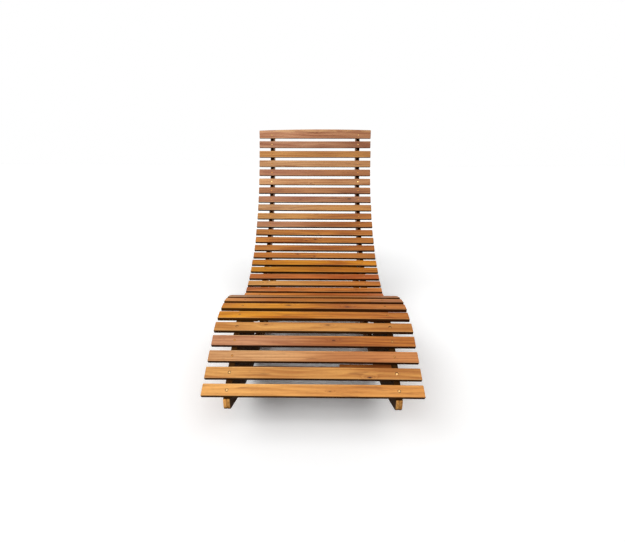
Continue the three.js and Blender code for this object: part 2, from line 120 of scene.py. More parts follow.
class Tone(Enum):
    """Natural tones of one board of acacia: its early wood and its late wood."""

    HONEY = ("#E4A75C", "#B9783A")
    GOLD = ("#DF9728", "#AD6314")
    AMBER = ("#D68D3E", "#9F5921")
    TAN = ("#D3A06C", "#A97143")
    PINK = ("#CC9168", "#A06342")
    ROSE = ("#D09A74", "#A56A4A")
    CLAY = ("#CB8C55", "#9E5F36")
    RUSSET = ("#C97738", "#924A1D")

    @property
    def light(self) -> Colour:
        """Colour of the early wood."""
        return colour(self.value[0])

    @property
    def deep(self) -> Colour:
        """Colour of the late wood."""
        return colour(self.value[1])


class Bench:
    """Places shader nodes in one tree and links them."""

    def __init__(self, tree: bpy.types.NodeTree) -> None:
        """Work in a tree.

        Args:
            tree: The node tree of a material, a world or a group.
        """
        self.tree = tree

    def feed(self, socket: Socket, source: object) -> None:
        """Link a socket to another node's output, or set its value.

        Args:
            socket: The input to fill.
            source: An output socket, or a number or tuple.
        """
        if isinstance(source, Socket):
            self.tree.links.new(source, socket)
        else:
            socket.default_value = source

    def node(self, kind: str, inputs: dict | None = None, **settings: object) -> bpy.types.Node:
        """Add a node.

        Args:
            kind: The node's type without its ShaderNode prefix.
            inputs: Sources by input name or number.
            settings: Properties of the node.

        Returns:
            The new node.
        """
        made = self.tree.nodes.new("ShaderNode" + kind)
        for name, value in settings.items():
            setattr(made, name, value)
        for key, source in (inputs or {}).items():
            self.feed(made.inputs[key], source)
        return made

    def math(self, operation: str, *sources: object, clamp: bool = False) -> Socket:
        """Add a Math node and return its output.

        Args:
            operation: The node's operation.
            sources: Up to three values or sockets.
            clamp: Whether the result stays between zero and one.

        Returns:
            The result.
        """
        inputs = dict(enumerate(sources))
        return self.node("Math", inputs, operation=operation, use_clamp=clamp).outputs[0]

    def vector(self, operation: str, *sources: object) -> Socket:
        """Add a Vector Math node and return its vector."""
        return self.node("VectorMath", dict(enumerate(sources)), operation=operation).outputs["Vector"]

    def measure(self, operation: str, *sources: object) -> Socket:
        """Add a Vector Math node and return its number."""
        return self.node("VectorMath", dict(enumerate(sources)), operation=operation).outputs["Value"]

    def parts(self, vector: object) -> tuple[Socket, ...]:
        """Split a vector into its three numbers."""
        return tuple(self.node("SeparateXYZ", {0: vector}).outputs)

    def join(self, x: object, y: object, z: object) -> Socket:
        """Make a vector of three numbers."""
        return self.node("CombineXYZ", {0: x, 1: y, 2: z}).outputs[0]

    def ease(self, value: object, low: float, high: float, top: float = 1.0) -> Socket:
        """Rise smoothly from zero to a top value as a value goes from low to high."""
        inputs = {"Value": value, "From Min": low, "From Max": high, "To Min": 0.0, "To Max": top}
        return self.node("MapRange", inputs, interpolation_type="SMOOTHSTEP").outputs["Result"]

    def mix(self, share: object, first: object, second: object, blend: str = "MIX") -> Socket:
        """Blend two colours.

        Args:
            share: How much of the second colour shows.
            first: A colour or socket.
            second: A colour or socket.
            blend: The node's blend type.

        Returns:
            The blended colour.
        """
        made = self.node("Mix", data_type="RGBA", blend_type=blend)
        self.feed(made.inputs["Factor"], share)
        self.feed(made.inputs[6], first)
        self.feed(made.inputs[7], second)
        return made.outputs[2]

    def noise(self, place: object, stretch: Triple, detail: float = 2.0) -> Socket:
        """Noise with its own number of features a metre along each axis.

        Args:
            place: Where the noise is read.
            stretch: Features a metre along x, y and z.
            detail: Octaves of finer noise.

        Returns:
            A value around one half.
        """
        scaled = self.vector("MULTIPLY", place, stretch)
        return self.node("TexNoise", {"Vector": scaled, "Scale": 1.0, "Detail": detail}).outputs[0]

    def group(self, shared: bpy.types.NodeTree, **inputs: object) -> bpy.types.Node:
        """Place a shared node group with this material's values.

        Args:
            shared: The group's tree.
            inputs: Sources by the names of the group's inputs.

        Returns:
            The new node.
        """
        made = self.tree.nodes.new("ShaderNodeGroup")
        made.node_tree = shared
        for name, source in inputs.items():
            self.feed(made.inputs[name], source)
        return made


class SharedEffect:
    """A shader node group that is built once and placed in many materials."""

    title = "effect"
    inputs: dict[str, str] = {}
    outputs: dict[str, str] = {}

    def __init__(self) -> None:
        """Make the group with its sockets and its nodes."""
        self.tree = bpy.data.node_groups.new(self.title, "ShaderNodeTree")
        for direction, sockets in (("INPUT", self.inputs), ("OUTPUT", self.outputs)):
            for name, kind in sockets.items():
                socket_type = f"NodeSocket{kind}"
                self.tree.interface.new_socket(name, in_out=direction, socket_type=socket_type)
        bench = Bench(self.tree)
        source = self.tree.nodes.new("NodeGroupInput")
        sink = self.tree.nodes.new("NodeGroupOutput")
        for name, socket in self.wire(bench, source.outputs).items():
            bench.feed(sink.inputs[name], socket)

    def wire(self, bench: Bench, given: Sockets) -> dict[str, Socket]:
        """Build the nodes between the inputs and the outputs."""
        raise NotImplementedError


class StainAndShade(Enum):
    """Colours of knots, rubbing and oil on the wood, with painted shade and a painted highlight among them.
    """

    KNOT_HALO = "#8A4A25"
    KNOT_CORE = "#4A2412"
    SMUDGE = "#7A4524"
    PORE = "#4A2A16"
    # Pale rubbed arrises, partly wear and partly a painted highlight along the arris.
    RUBBED = "#EBC08A"
    # Partly oil-darkened sawn edges and end grain, partly painted shade on faces turned away from the light.
    SAWN_SIDE = "#2A1307"
    # Painted shade: near-black on side boards under the slats and on their inner faces.
    GRIME = "#1A0803"
    # Partly oil round the screws, partly painted shadow of the countersink.
    SCREW_RING = "#2A1508"

    @property
    def tone(self) -> Colour:
        """The stain in linear light."""
        return colour(self.value)


class KnotSwell(SharedEffect):
    """Where the grain bulges round a knot, and where its dark core is."""

    title = "knot_swell"
    inputs = {"Place": "Vector", "Centre": "Vector", "Reach": "Float"}
    outputs = {"Swell": "Float", "Core": "Float"}
    slenderness = 0.40
    ragged_scale = (160.0, 420.0, 300.0)
    ragged_share = 0.35
    steepness = 0.9
    core_range = (0.72, 0.34)

    def wire(self, bench: Bench, given: Sockets) -> dict[str, Socket]:
        """Measure the distance from the knot in knot sizes, longer along the grain.

        Args:
            bench: Where the nodes go.
            given: The group's inputs by name.

        Returns:
            The group's outputs by name.
        """
        across = bench.math("MULTIPLY", given["Reach"], self.slenderness)
        size = bench.join(given["Reach"], across, given["Reach"])
        offset = bench.vector("DIVIDE", bench.vector("SUBTRACT", given["Place"], given["Centre"]), size)
        ragged = bench.noise(given["Place"], self.ragged_scale, 1.0)
        ragged = bench.math("MULTIPLY", ragged, self.ragged_share)
        distance = bench.math("ADD", bench.measure("LENGTH", offset), ragged)
        fall = bench.math("MULTIPLY", bench.math("MULTIPLY", distance, distance), -self.steepness)
        return {"Swell": bench.math("EXPONENT", fall), "Core": bench.ease(distance, *self.core_range)}


class AcaciaGrain(SharedEffect):
    """Growth bands, streaks, fibres and pores along the local x axis."""

    title = "acacia_grain"
    inputs = {
        "Place": "Vector",
        "Seed": "Vector",
        "Swell": "Float",
        "Light": "Color",
        "Deep": "Color",
        "Bands": "Float",
        "Contrast": "Float",
    }
    outputs = {"Color": "Color", "Height": "Float", "Dry": "Float"}
    ring_slant = 1.3
    wander_scale = (2.3, 13.0, 13.0)
    wander_turns = 4.6
    knot_turns = 3.2
    late_rise = (0.25, 0.90)
    late_fall = (1.0, 0.92)
    late_weight = 0.44
    blotch_scale = (3.4, 15.0, 15.0)
    blotch_weight = 2.3
    streak_scale = (6.5, 210.0, 210.0)
    streak_weight = 2.1
    fibre_scale = (26.0, 1300.0, 1300.0)
    fibre_weight = 0.5
    even_share = 0.38
    pore_scale = (75.0, 2100.0, 2100.0)
    pore_range = (0.63, 0.74)
    pore_weight = 0.30
    smudge_scale = (11.0, 75.0, 75.0)
    smudge_range = (0.60, 0.80)
    smudge_top = 0.6
    late_height = 0.25
    fibre_height = 0.6
    pore_depth = 0.6
    streak_dryness = 0.5
    late_dryness = 0.3

    def wire(self, bench: Bench, given: Sockets) -> dict[str, Socket]:
        """Layer the figure from wide growth bands to fine pores.

        Args:
            bench: Where the nodes go.
            given: The group's inputs by name.

        Returns:
            The group's outputs by name.
        """
        place = bench.vector("ADD", given["Place"], given["Seed"])
        late = self.late_wood(bench, given, place)
        blotch = bench.noise(place, self.blotch_scale, 1.0)
        streak = bench.noise(place, self.streak_scale, 3.0)
        fibre = bench.noise(place, self.fibre_scale, 2.0)
        pore = bench.ease(bench.noise(place, self.pore_scale, 0.0), *self.pore_range)
        layers = ((blotch, self.blotch_weight), (streak, self.streak_weight), (fibre, self.fibre_weight))
        depth = bench.math("MULTIPLY", late, self.late_weight)
        for layer, weight in layers:
            depth = bench.math("MULTIPLY_ADD", bench.math("SUBTRACT", layer, 0.5), weight, depth)
        share = bench.math("MULTIPLY_ADD", depth, given["Contrast"], self.even_share, clamp=True)
        figured = bench.mix(share, given["Light"], given["Deep"])
        smudge = bench.noise(place, self.smudge_scale, 2.0)
        smudge = bench.ease(smudge, *self.smudge_range, self.smudge_top)
        smudged = bench.mix(smudge, figured, StainAndShade.SMUDGE.tone)
        fuzz = bench.math("MULTIPLY", fibre, self.fibre_height)
        height = bench.math("MULTIPLY_ADD", late, self.late_height, fuzz)
        dry = bench.math("MULTIPLY", streak, self.streak_dryness)
        return {
            "Color": bench.mix(bench.math("MULTIPLY", pore, self.pore_weight), smudged, StainAndShade.PORE.tone),
            "Height": bench.math("SUBTRACT", height, bench.math("MULTIPLY", pore, self.pore_depth)),
            "Dry": bench.math("ADD", dry, bench.math("MULTIPLY", late, self.late_dryness)),
        }

    def late_wood(self, bench: Bench, given: Sockets, place: Socket) -> Socket:
        """Dark late wood of the growth bands, which wander and bulge round knots.

        Args:
            bench: Where the nodes go.
            given: The group's inputs by name.
            place: Place in the wood.

        Returns:
            The share of late wood.
        """
        _, across, deep = bench.parts(place)
        wander = bench.math("MULTIPLY", bench.noise(place, self.wander_scale, 2.0), self.wander_turns)
        tilt = bench.math("MULTIPLY_ADD", deep, self.ring_slant, across)
        turns = bench.math("MULTIPLY_ADD", tilt, given["Bands"], wander)
        turns = bench.math("MULTIPLY_ADD", given["Swell"], self.knot_turns, turns)
        phase = bench.math("FRACT", turns)
        rise, fall = (bench.ease(phase, *ends) for ends in (self.late_rise, self.late_fall))
        return bench.math("MULTIPLY", rise, fall)


class ArrisWearAndShade(SharedEffect):
    """Rubbed arrises of a straight bar, partly wear and partly a painted highlight, and its dark narrow faces
    and end grain, partly oil and partly painted shade, most on the lower edge that faces down.
    """

    title = "arris_wear_and_shade"
    inputs = {"Place": "Vector", "Half": "Vector", "Facing": "Float", "Low": "Float", "Width": "Float"}
    outputs = {"Worn": "Float", "Side": "Float"}
    reach_range = (1.0, 0.35)
    rub_scale = (22.0, 90.0, 90.0)
    rub_range = (0.30, 0.62)
    facing_range = (0.75, 0.30)
    low_shade_range = (0.22, 0.72)

    def wire(self, bench: Bench, given: Sockets) -> dict[str, Socket]:
        """Measure how close a point is to two faces of the bar at once.

        Args:
            bench: Where the nodes go.
            given: The group's inputs by name.

        Returns:
            The group's outputs by name.
        """
        inside = bench.vector("SUBTRACT", given["Half"], bench.vector("ABSOLUTE", given["Place"]))
        near_end, near_edge, near_face = bench.parts(inside)
        near = bench.math("MINIMUM", near_end, near_edge)
        reach = bench.math("DIVIDE", bench.math("ADD", near, near_face), given["Width"])
        rubbed = bench.ease(bench.noise(given["Place"], self.rub_scale, 2.0), *self.rub_range)
        worn = bench.math("MULTIPLY", bench.ease(reach, *self.reach_range), rubbed)
        turned = bench.ease(given["Facing"], *self.facing_range)
        # Narrow faces, and most of all the lower edge facing down, are marked for painted shade.
        side = bench.math("MAXIMUM", turned, bench.ease(given["Low"], *self.low_shade_range))
        return {"Worn": bench.math("MULTIPLY", worn, bench.math("SUBTRACT", 1.0, side)), "Side": side}


class ScrewSeat(SharedEffect):
    """Dark ring round each screw of a slat, partly oil and partly painted shadow of the countersink."""

    title = "screw_seat"
    inputs = {"Place": "Vector", "Radius": "Float"}
    outputs = {"Ring": "Float"}
    rim_range = (1.25, 0.85)

    def wire(self, bench: Bench, given: Sockets) -> dict[str, Socket]:
        """Measure the distance to the nearer screw, with both sides folded together.

        Args:
            bench: Where the nodes go.
            given: The group's inputs by name.

        Returns:
            The group's outputs by name.
        """
        along, across, _ = bench.parts(given["Place"])
        offset = bench.math("SUBTRACT", bench.math("ABSOLUTE", along), RAIL_CENTRE)
        distance = bench.measure("LENGTH", bench.join(offset, across, 0.0))
        return {"Ring": bench.ease(bench.math("DIVIDE", distance, given["Radius"]), *self.rim_range)}


@dataclass(frozen=True)
class Knot:
    """A knot, with its place from the middle of its board and its reach along the grain, in millimetres."""

    along: float
    across: float
    reach: float
    dark: float = 0.6


@dataclass
class Effects:
    """The shared node groups."""

    knot: KnotSwell = field(default_factory=KnotSwell)
    grain: AcaciaGrain = field(default_factory=AcaciaGrain)
    wear_and_shade: ArrisWearAndShade = field(default_factory=ArrisWearAndShade)
    seat: ScrewSeat = field(default_factory=ScrewSeat)


@dataclass(frozen=True)
class OiledAcacia:
    """Oiled acacia on one board, with the grain along the board's own x axis.

    The first six fields say which board it is, and the others how its wood was sawn, oiled and used, and how
    much light and shade is painted on it.
    """

    title: str
    near: Tone
    far: Tone
    place: Matrix
    half: Triple
    seed: int
    shade: float = 1.0
    contrast: float = 1.0
    bands: float = 75.0
    knots: tuple[Knot, ...] = ()
    # Narrow faces keep this share of their colour; the rest goes to oil and painted shade.
    side_shade: float = 0.08
    top_band: float = 0.0
    screwed: bool = False
    # How dark the ring round the screws is, partly oil and partly painted shadow.
    ring: float = 0.7
    inward: float = 0.0
    # Painted light and shade at the far end, as shares of the near end's shade.
    far_painted_shading: Triple = (1.0, 1.0, 1.0)
    roughness: float = 0.50
    side_roughness: float = 0.15
    dry_roughness: float = 0.22
    oil_smoothness: float = 0.08
    shine: float = 0.24
    side_dulling: float = 0.9
    seed_reach: float = 9.0
    drift_scale: Triple = (5.0, 60.0, 60.0)
    drift_raggedness: float = 0.16
    drift_middle: float = 0.08
    drift_share: float = 0.7
    halo: float = 0.30
    band_start: float = 0.25
    band_end: float = 0.8
    # How pale the arrises are, partly wear and partly a painted highlight.
    rubbing: float = 0.5
    rubbed_width: float = 3 * MILLIMETRE
    ring_radius: float = 4.2 * MILLIMETRE
    # Painted shade on side boards: edges under the slats and inner faces, fading towards the back and kept
    # off the nose's face.
    upward_range: tuple[float, float] = (0.03, 0.15)
    inner_range: tuple[float, float] = (0.2, 0.7)
    top_shade: float = 0.95
    inner_shade: float = 0.92
    shade_end: float = -0.15
    shade_blend: float = 0.15
    shade_fade: float = 0.7
    nose_blend: float = 3 * MILLIMETRE
    core_sink: float = 0.5
    relief: float = 0.35 * MILLIMETRE
    relief_strength: float = 0.45

    def build(self, effects: Effects) -> bpy.types.Material:
        """Make the material.

        Args:
            effects: The shared node groups.

        Returns:
            The finished material.
        """
        made = bpy.data.materials.new(self.title)
        made.use_nodes = True
        bench = Bench(made.node_tree)
        shader = made.node_tree.nodes["Principled BSDF"]
        source = bench.node("TexCoord")
        axes = {
            "Vector": source.outputs["Object"],
            "Location": self.place.to_translation(),
            "Rotation": self.place.to_euler(),
        }
        local = bench.node("Mapping", axes, vector_type="TEXTURE").outputs[0]
        drift = self.drift(bench, local)
        swell, core = self.knot_fields(bench, effects, local)
        draw = random.Random(self.seed)
        seed = tuple(draw.uniform(-self.seed_reach, self.seed_reach) for _ in range(3))
        grain = bench.group(
            effects.grain.tree, Place=local, Seed=seed, Swell=swell,
            Light=bench.mix(drift, self.near.light, self.far.light),
            Deep=bench.mix(drift, self.near.deep, self.far.deep),
            Bands=self.bands, Contrast=self.contrast,
        )
        wood = self.figured(bench, local, grain.outputs["Color"], swell, core)
        wear_and_shade = self.wear_and_shade(bench, effects, source, local)
        stained_and_shaded, shine = self.weathered_and_shaded(bench, source, wood, wear_and_shade)
        # Ring round the screws: partly oil, partly painted shadow of the countersink.
        if self.screwed:
            seat = bench.group(effects.seat.tree, Place=local, Radius=self.ring_radius)
            ring = bench.math("MULTIPLY", seat.outputs["Ring"], self.ring)
            stained_and_shaded = bench.mix(ring, stained_and_shaded, StainAndShade.SCREW_RING.tone)
        # Painted light and shade along the board: the far end is painted darker on the slats, for light that
        # falls off to the right, and lighter on the front stretcher.
        near_shade = (self.shade, self.shade, self.shade, 1.0)
        far_shade = (*(self.shade * share for share in self.far_painted_shading), 1.0)
        shades = bench.mix(drift, near_shade, far_shade)
        bench.feed(shader.inputs["Base Color"], bench.mix(1.0, stained_and_shaded, shades, "MULTIPLY"))
        even = self.roughness - self.oil_smoothness
        dry = bench.math("MULTIPLY_ADD", grain.outputs["Dry"], self.dry_roughness, even)
        rough = bench.math("MULTIPLY_ADD", wear_and_shade.outputs["Side"], self.side_roughness, dry)
        bench.feed(shader.inputs["Roughness"], rough)
        bench.feed(shader.inputs["Specular IOR Level"], shine)
        sunk = bench.math("MULTIPLY", core, self.core_sink)
        height = bench.math("SUBTRACT", grain.outputs["Height"], sunk)
        bump = {"Strength": self.relief_strength, "Distance": self.relief, "Height": height}
        bench.feed(shader.inputs["Normal"], bench.node("Bump", bump).outputs[0])
        return made

    def weathered_and_shaded(
        self, bench: Bench, source: bpy.types.Node, wood: Socket, wear_and_shade: bpy.types.Node
    ) -> tuple[Socket, Socket]:
        """Pale the arrises with wear and a painted highlight, darken the narrow faces with oil and painted
        shade, and paint shade on side boards.

        Args:
            bench: Where the nodes go.
            source: The texture coordinates.
            wood: Colour of the wood.
            wear_and_shade: The node of the rubbed arrises and narrow faces.

        Returns:
            The colour and the shine.
        """
        # Pale arrises: partly wear, partly a painted highlight.
        rubbing = bench.math("MULTIPLY", wear_and_shade.outputs["Worn"], self.rubbing)
        rubbed = bench.mix(rubbing, wood, StainAndShade.RUBBED.tone)
        # Narrow faces darkened, partly oil and partly painted shade.
        side = bench.math("MULTIPLY", wear_and_shade.outputs["Side"], 1.0 - self.side_shade)
        stained_and_shaded = bench.mix(side, rubbed, StainAndShade.SAWN_SIDE.tone)
        dulling = -self.side_dulling * self.shine
        shine = bench.math("MULTIPLY_ADD", wear_and_shade.outputs["Side"], dulling, self.shine)
        if self.inward:
            # Painted shade under the slats and on the inner face.
            painted_shade = self.painted_shade(bench, source)
            stained_and_shaded = bench.mix(painted_shade, stained_and_shaded, StainAndShade.GRIME.tone)
            shine = bench.math("MULTIPLY", shine, bench.math("SUBTRACT", 1.0, painted_shade))
        return stained_and_shaded, shine

    def drift(self, bench: Bench, local: Socket) -> Socket:
        """How far the tones have changed on the way from the near end to the far end.

        Args:
            bench: Where the nodes go.
            local: Place on the board.

        Returns:
            The share of the far tones.
        """
        along, _, _ = bench.parts(local)
        ragged = bench.noise(local, self.drift_scale)
        edge = bench.math("MULTIPLY_ADD", ragged, self.drift_raggedness, along)
        reach = self.half[0] * self.drift_share
        return bench.ease(edge, self.drift_middle - reach, self.drift_middle + reach)

    def wear_and_shade(self, bench: Bench, effects: Effects, source: bpy.types.Node, local: Socket) -> bpy.types.Node:
        """Find the rubbed arrises, and the narrow faces that take oil and painted shade.

        Args:
            bench: Where the nodes go.
            effects: The shared node groups.
            source: The texture coordinates.
            local: Place on the board.

        Returns:
            The group's node.
        """
        _, up, out = self.place.to_3x3().col
        facing = bench.math("ABSOLUTE", bench.measure("DOT_PRODUCT", source.outputs["Normal"], out))
        low = bench.measure("DOT_PRODUCT", source.outputs["Normal"], -up)
        return bench.group(
            effects.wear_and_shade.tree, Place=local, Half=self.half, Facing=facing, Low=low, Width=self.rubbed_width
        )

    def figured(self, bench: Bench, local: Socket, wood: Socket, swell: object, core: object) -> Socket:
        """Darken the wood round its knots, and in a band along its upper edge where it has one.

        Args:
            bench: Where the nodes go.
            local: Place on the board.
            wood: Colour of the plain figure.
            swell: How close a knot is.
            core: Where a knot's core is.

        Returns:
            The colour.
        """
        halo = bench.math("MULTIPLY", swell, self.halo, clamp=True)
        tinted = bench.mix(halo, wood, StainAndShade.KNOT_HALO.tone)
        tinted = bench.mix(core, tinted, StainAndShade.KNOT_CORE.tone)
        if self.top_band:
            _, across, _ = bench.parts(local)
            start, end = (self.half[1] * share for share in (self.band_start, self.band_end))
            tinted = bench.mix(bench.ease(across, start, end, self.top_band), tinted, self.far.deep)
        return tinted

    def painted_shade(self, bench: Bench, source: bpy.types.Node) -> Socket:
        """How much painted shade a side board gets on its inner face and on its edges under the slats, behind
        the nose.

        Args:
            bench: Where the nodes go.
            source: The texture coordinates.

        Returns:
            The share of painted shade.
        """
        normal = source.outputs["Normal"]
        upward = bench.measure("DOT_PRODUCT", normal, SITTER_SIDE)
        upward = bench.ease(upward, *self.upward_range, self.top_shade)
        inner = bench.measure("DOT_PRODUCT", normal, (self.inward, 0.0, 0.0))
        inner = bench.ease(inner, *self.inner_range, self.inner_shade)
        _, along, _ = bench.parts(source.outputs["Object"])
        start, end = self.shade_end - self.shade_blend, self.shade_end + self.shade_blend
        # The inner face's painted shade fades towards the back.
        shade_fading = bench.ease(along, start, end, self.shade_fade)
        inner = bench.math("MULTIPLY", inner, bench.math("SUBTRACT", 1.0, shade_fading))
        behind = bench.ease(along, NOSE_FACE, NOSE_FACE + self.nose_blend)
        return bench.math("MULTIPLY", bench.math("MAXIMUM", upward, inner), behind)

    def knot_fields(self, bench: Bench, effects: Effects, local: Socket) -> tuple[object, object]:
        """Add up the swells and cores of this board's knots.

        Args:
            bench: Where the nodes go.
            effects: The shared node groups.
            local: Place on the board.

        Returns:
            The swell and the dark core, each a socket or zero.
        """
        swell: object = 0.0
        core: object = 0.0
        for knot in self.knots:
            centre = (knot.along * MILLIMETRE, knot.across * MILLIMETRE, self.half[2])
            made = bench.group(effects.knot.tree, Place=local, Centre=centre, Reach=knot.reach * MILLIMETRE)
            swell = bench.math("ADD", made.outputs["Swell"], swell)
            core = bench.math("MULTIPLY_ADD", made.outputs["Core"], knot.dark, core, clamp=True)
        return swell, core


@dataclass(frozen=True)
class Metal:
    """Plated metal with fine scratches and dull spots."""

    title: str
    bright: str
    dull: str
    roughness: float
    spot_scale: Triple = (420.0, 420.0, 420.0)
    spot_range: tuple[float, float] = (0.42, 0.66)
    spot_roughness: float = 0.18
    scratch_scale: Triple = (300.0, 4200.0, 900.0)
    scratch_strength: float = 0.25
    scratch_depth: float = 0.05 * MILLIMETRE

    def build(self) -> bpy.types.Material:
        """Make the material.

        Returns:
            The finished material.
        """
        made = bpy.data.materials.new(self.title)
        made.use_nodes = True
        bench = Bench(made.node_tree)
        shader = made.node_tree.nodes["Principled BSDF"]
        place = bench.node("TexCoord").outputs["Object"]
        share = bench.ease(bench.noise(place, self.spot_scale, 3.0), *self.spot_range)
        scratches = bench.noise(place, self.scratch_scale, 2.0)
        bench.feed(shader.inputs["Base Color"], bench.mix(share, colour(self.bright), colour(self.dull)))
        rough = bench.math("MULTIPLY_ADD", share, self.spot_roughness, self.roughness)
        bench.feed(shader.inputs["Roughness"], rough)
        shader.inputs["Metallic"].default_value = 1.0
        bump = {"Strength": self.scratch_strength, "Distance": self.scratch_depth, "Height": scratches}
        bench.feed(shader.inputs["Normal"], bench.node("Bump", bump).outputs[0])
        return made


# The aged copy is partly tarnish, and the bright copy, used on the few slats whose screws glint, is partly a
# painted glint.
BRASS = Metal("brass_plate", "#EEC07E", "#BE8C4C", 0.32)
AGED_BRASS = Metal("aged_brass", "#C8904F", "#9C6A38", 0.55)
STEEL = Metal("zinc_plate", "#D6D2C8", "#A8A294", 0.34)


def deselect_all() -> None:
    """Leave no object selected."""
    bpy.ops.object.select_all(action="DESELECT")


def pick(piece: bpy.types.Object) -> None:
    """Make one object the only selected one, and active.

    Args:
        piece: The object.
    """
    deselect_all()
    piece.select_set(True)
    bpy.context.view_layer.objects.active = piece


@contextmanager
def editing(piece: bpy.types.Object, mode: str = "FACE") -> Iterator[bmesh.types.BMesh]:
    """Open a piece in edit mode with nothing selected.

    Args:
        piece: The object to edit.
        mode: What is selected: VERT, EDGE or FACE.

    Yields:
        The edit mesh.
    """
    pick(piece)
    bpy.ops.object.mode_set(mode="EDIT")
    bpy.ops.mesh.select_mode(type=mode)
    bpy.ops.mesh.select_all(action="DESELECT")
    yield bmesh.from_edit_mesh(piece.data)
    bpy.ops.object.mode_set(mode="OBJECT")


def choose(parts: Sequence, piece: bpy.types.Object, test: Callable[[object], bool]) -> None:
    """Select the faces, edges or vertices that pass a test.

    Args:
        parts: The edit mesh's faces, edges or vertices.
        piece: The object in edit mode.
        test: Says whether a part is selected.
    """
    for part in parts:
        part.select_set(test(part))
    bmesh.update_edit_mesh(piece.data)


def finish(piece: bpy.types.Object, kind: str, **settings: object) -> None:
    """Add a modifier, set it up and apply it.

    Args:
        piece: The object to change.
        kind: The modifier's type.
        settings: The modifier's properties.
    """
    pick(piece)
    modifier = piece.modifiers.new(kind.title(), kind)
    for name, value in settings.items():
        setattr(modifier, name, value)
    bpy.ops.object.modifier_apply(modifier=modifier.name)


def cut_away(piece: bpy.types.Object, cutter: bpy.types.Object) -> None:
    """Subtract one object from another, and remove it."""
    finish(piece, "BOOLEAN", operation="DIFFERENCE", object=cutter, solver="EXACT")
    bpy.data.objects.remove(cutter)


def settle(piece: bpy.types.Object) -> None:
    """Put an object's place, turn and scale into its mesh."""
    pick(piece)
    bpy.ops.object.transform_apply(location=True, rotation=True, scale=True)


def smooth(piece: bpy.types.Object, degrees: float = 38.0) -> None:
    """Shade a piece smooth up to an angle, with its wide faces left flat.

    Args:
        piece: The object.
        degrees: The angle from which an edge stays sharp.
    """
    pick(piece)
    bpy.ops.object.shade_smooth_by_angle(angle=math.radians(degrees))
    finish(piece, "WEIGHTED_NORMAL", keep_sharp=True, weight=60)


def add_box(name: str, size: Sequence[float], at: Sequence[float] = (0, 0, 0)) -> bpy.types.Object:
    """Add a box at its size and place.

    Args:
        name: The new object's name.
        size: Lengths along x, y and z.
        at: Its middle.

    Returns:
        The new object.
    """
    deselect_all()
    bpy.ops.mesh.primitive_cube_add(size=1, location=at)
    made = bpy.context.active_object
    made.name = name
    made.scale = size
    settle(made)
    return made


def add_rod(
    name: str, radius: float, depth: float, at: Sequence[float] = (0, 0, 0), sides: int = 24
) -> bpy.types.Object:
    """Add an upright cylinder at its size and place.

    Args:
        name: The new object's name.
        radius: Its radius.
        depth: Its height.
        at: Its middle.
        sides: The number of its sides.

    Returns:
        The new object.
    """
    deselect_all()
    bpy.ops.mesh.primitive_cylinder_add(vertices=sides, radius=radius, depth=depth, location=at)
    made = bpy.context.active_object
    made.name = name
    settle(made)
    return made


def copy_of(piece: bpy.types.Object, name: str) -> bpy.types.Object:
    """Copy a piece with a mesh of its own.

    Args:
        piece: The object to copy.
        name: The copy's name.

    Returns:
        The copy.
    """
    made = piece.copy()
    made.data = piece.data.copy()
    made.name = name
    bpy.context.scene.collection.objects.link(made)
    return made


def joined(name: str, pieces: Sequence[bpy.types.Object]) -> bpy.types.Object:
    """Join pieces into one object.

    Args:
        name: The new name.
        pieces: The objects, of which the first takes in the others.

    Returns:
        The joined object.
    """
    pick(pieces[0])
    for piece in pieces:
        piece.select_set(True)
    bpy.ops.object.join()
    pieces[0].name = name
    return pieces[0]


def round_top(rod: bpy.types.Object, height: float, share: float, steps: int) -> None:
    """Round the upper rim of a rod that stands on the XY plane.

    Args:
        rod: The rod.
        height: Its height.
        share: The rounding as a share of the height.
        steps: The number of the rounding's facets.
    """
    with editing(rod, "EDGE") as mesh:
        rim = height * RIM_SHARE
        choose(mesh.edges, rod, lambda edge: all(vertex.co.z > rim for vertex in edge.verts))
        bpy.ops.mesh.bevel(offset=height * share, segments=steps)


def middle_of(node: str) -> Vector:
    """Middle of the box round one of the frame's nodes."""
    low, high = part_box(node)
    return (low + high) / 2


def hand_over(
    piece: bpy.types.Object, slot: Slot, material: bpy.types.Material, *nodes: str
) -> bpy.types.Object:
    """Dress a finished piece, hang it on its body and hide the frame's nodes that it replaces.

    Args:
        piece: The finished object.
        slot: Not used.
        material: Its material.
        nodes: The frame's nodes that it replaces.

    Returns:
        The same object.
    """
    piece.data.materials.clear()
    piece.data.materials.append(material)
    if nodes:
        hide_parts(*nodes)
    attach(piece, BODY)
    LOG.info("%s: %d faces", piece.name, len(piece.data.polygons))
    return piece


@dataclass(frozen=True)
class SlatLook:
    """What sets one slat apart: its tones, its knots and how it has moved since it was sawn.

    Crown, shift and trim are in millimetres, and turn is in degrees. Fade is how bright the right end is
    painted next to the left, painted shade for light that falls off to the right. Ring is how dark the
    screws' ring is, partly oil and partly painted shadow of the countersink, and top_band how dark the upper
    edge is. A bright slat's screws are the brighter brass, which is partly a painted glint.
    """

    near: Tone
    far: Tone
    shade: float = 1.0
    contrast: float = 1.0
    bands: float = 75.0
    knots: tuple[Knot, ...] = ()
    crown: float = 0.0
    shift: float = 0.0
    turn: float = 0.0
    trim: tuple[float, float] = (0.4, 0.4)
    top_band: float = 0.0
    bright: bool = False
    fade: float = 0.82
    ring: float = 0.15


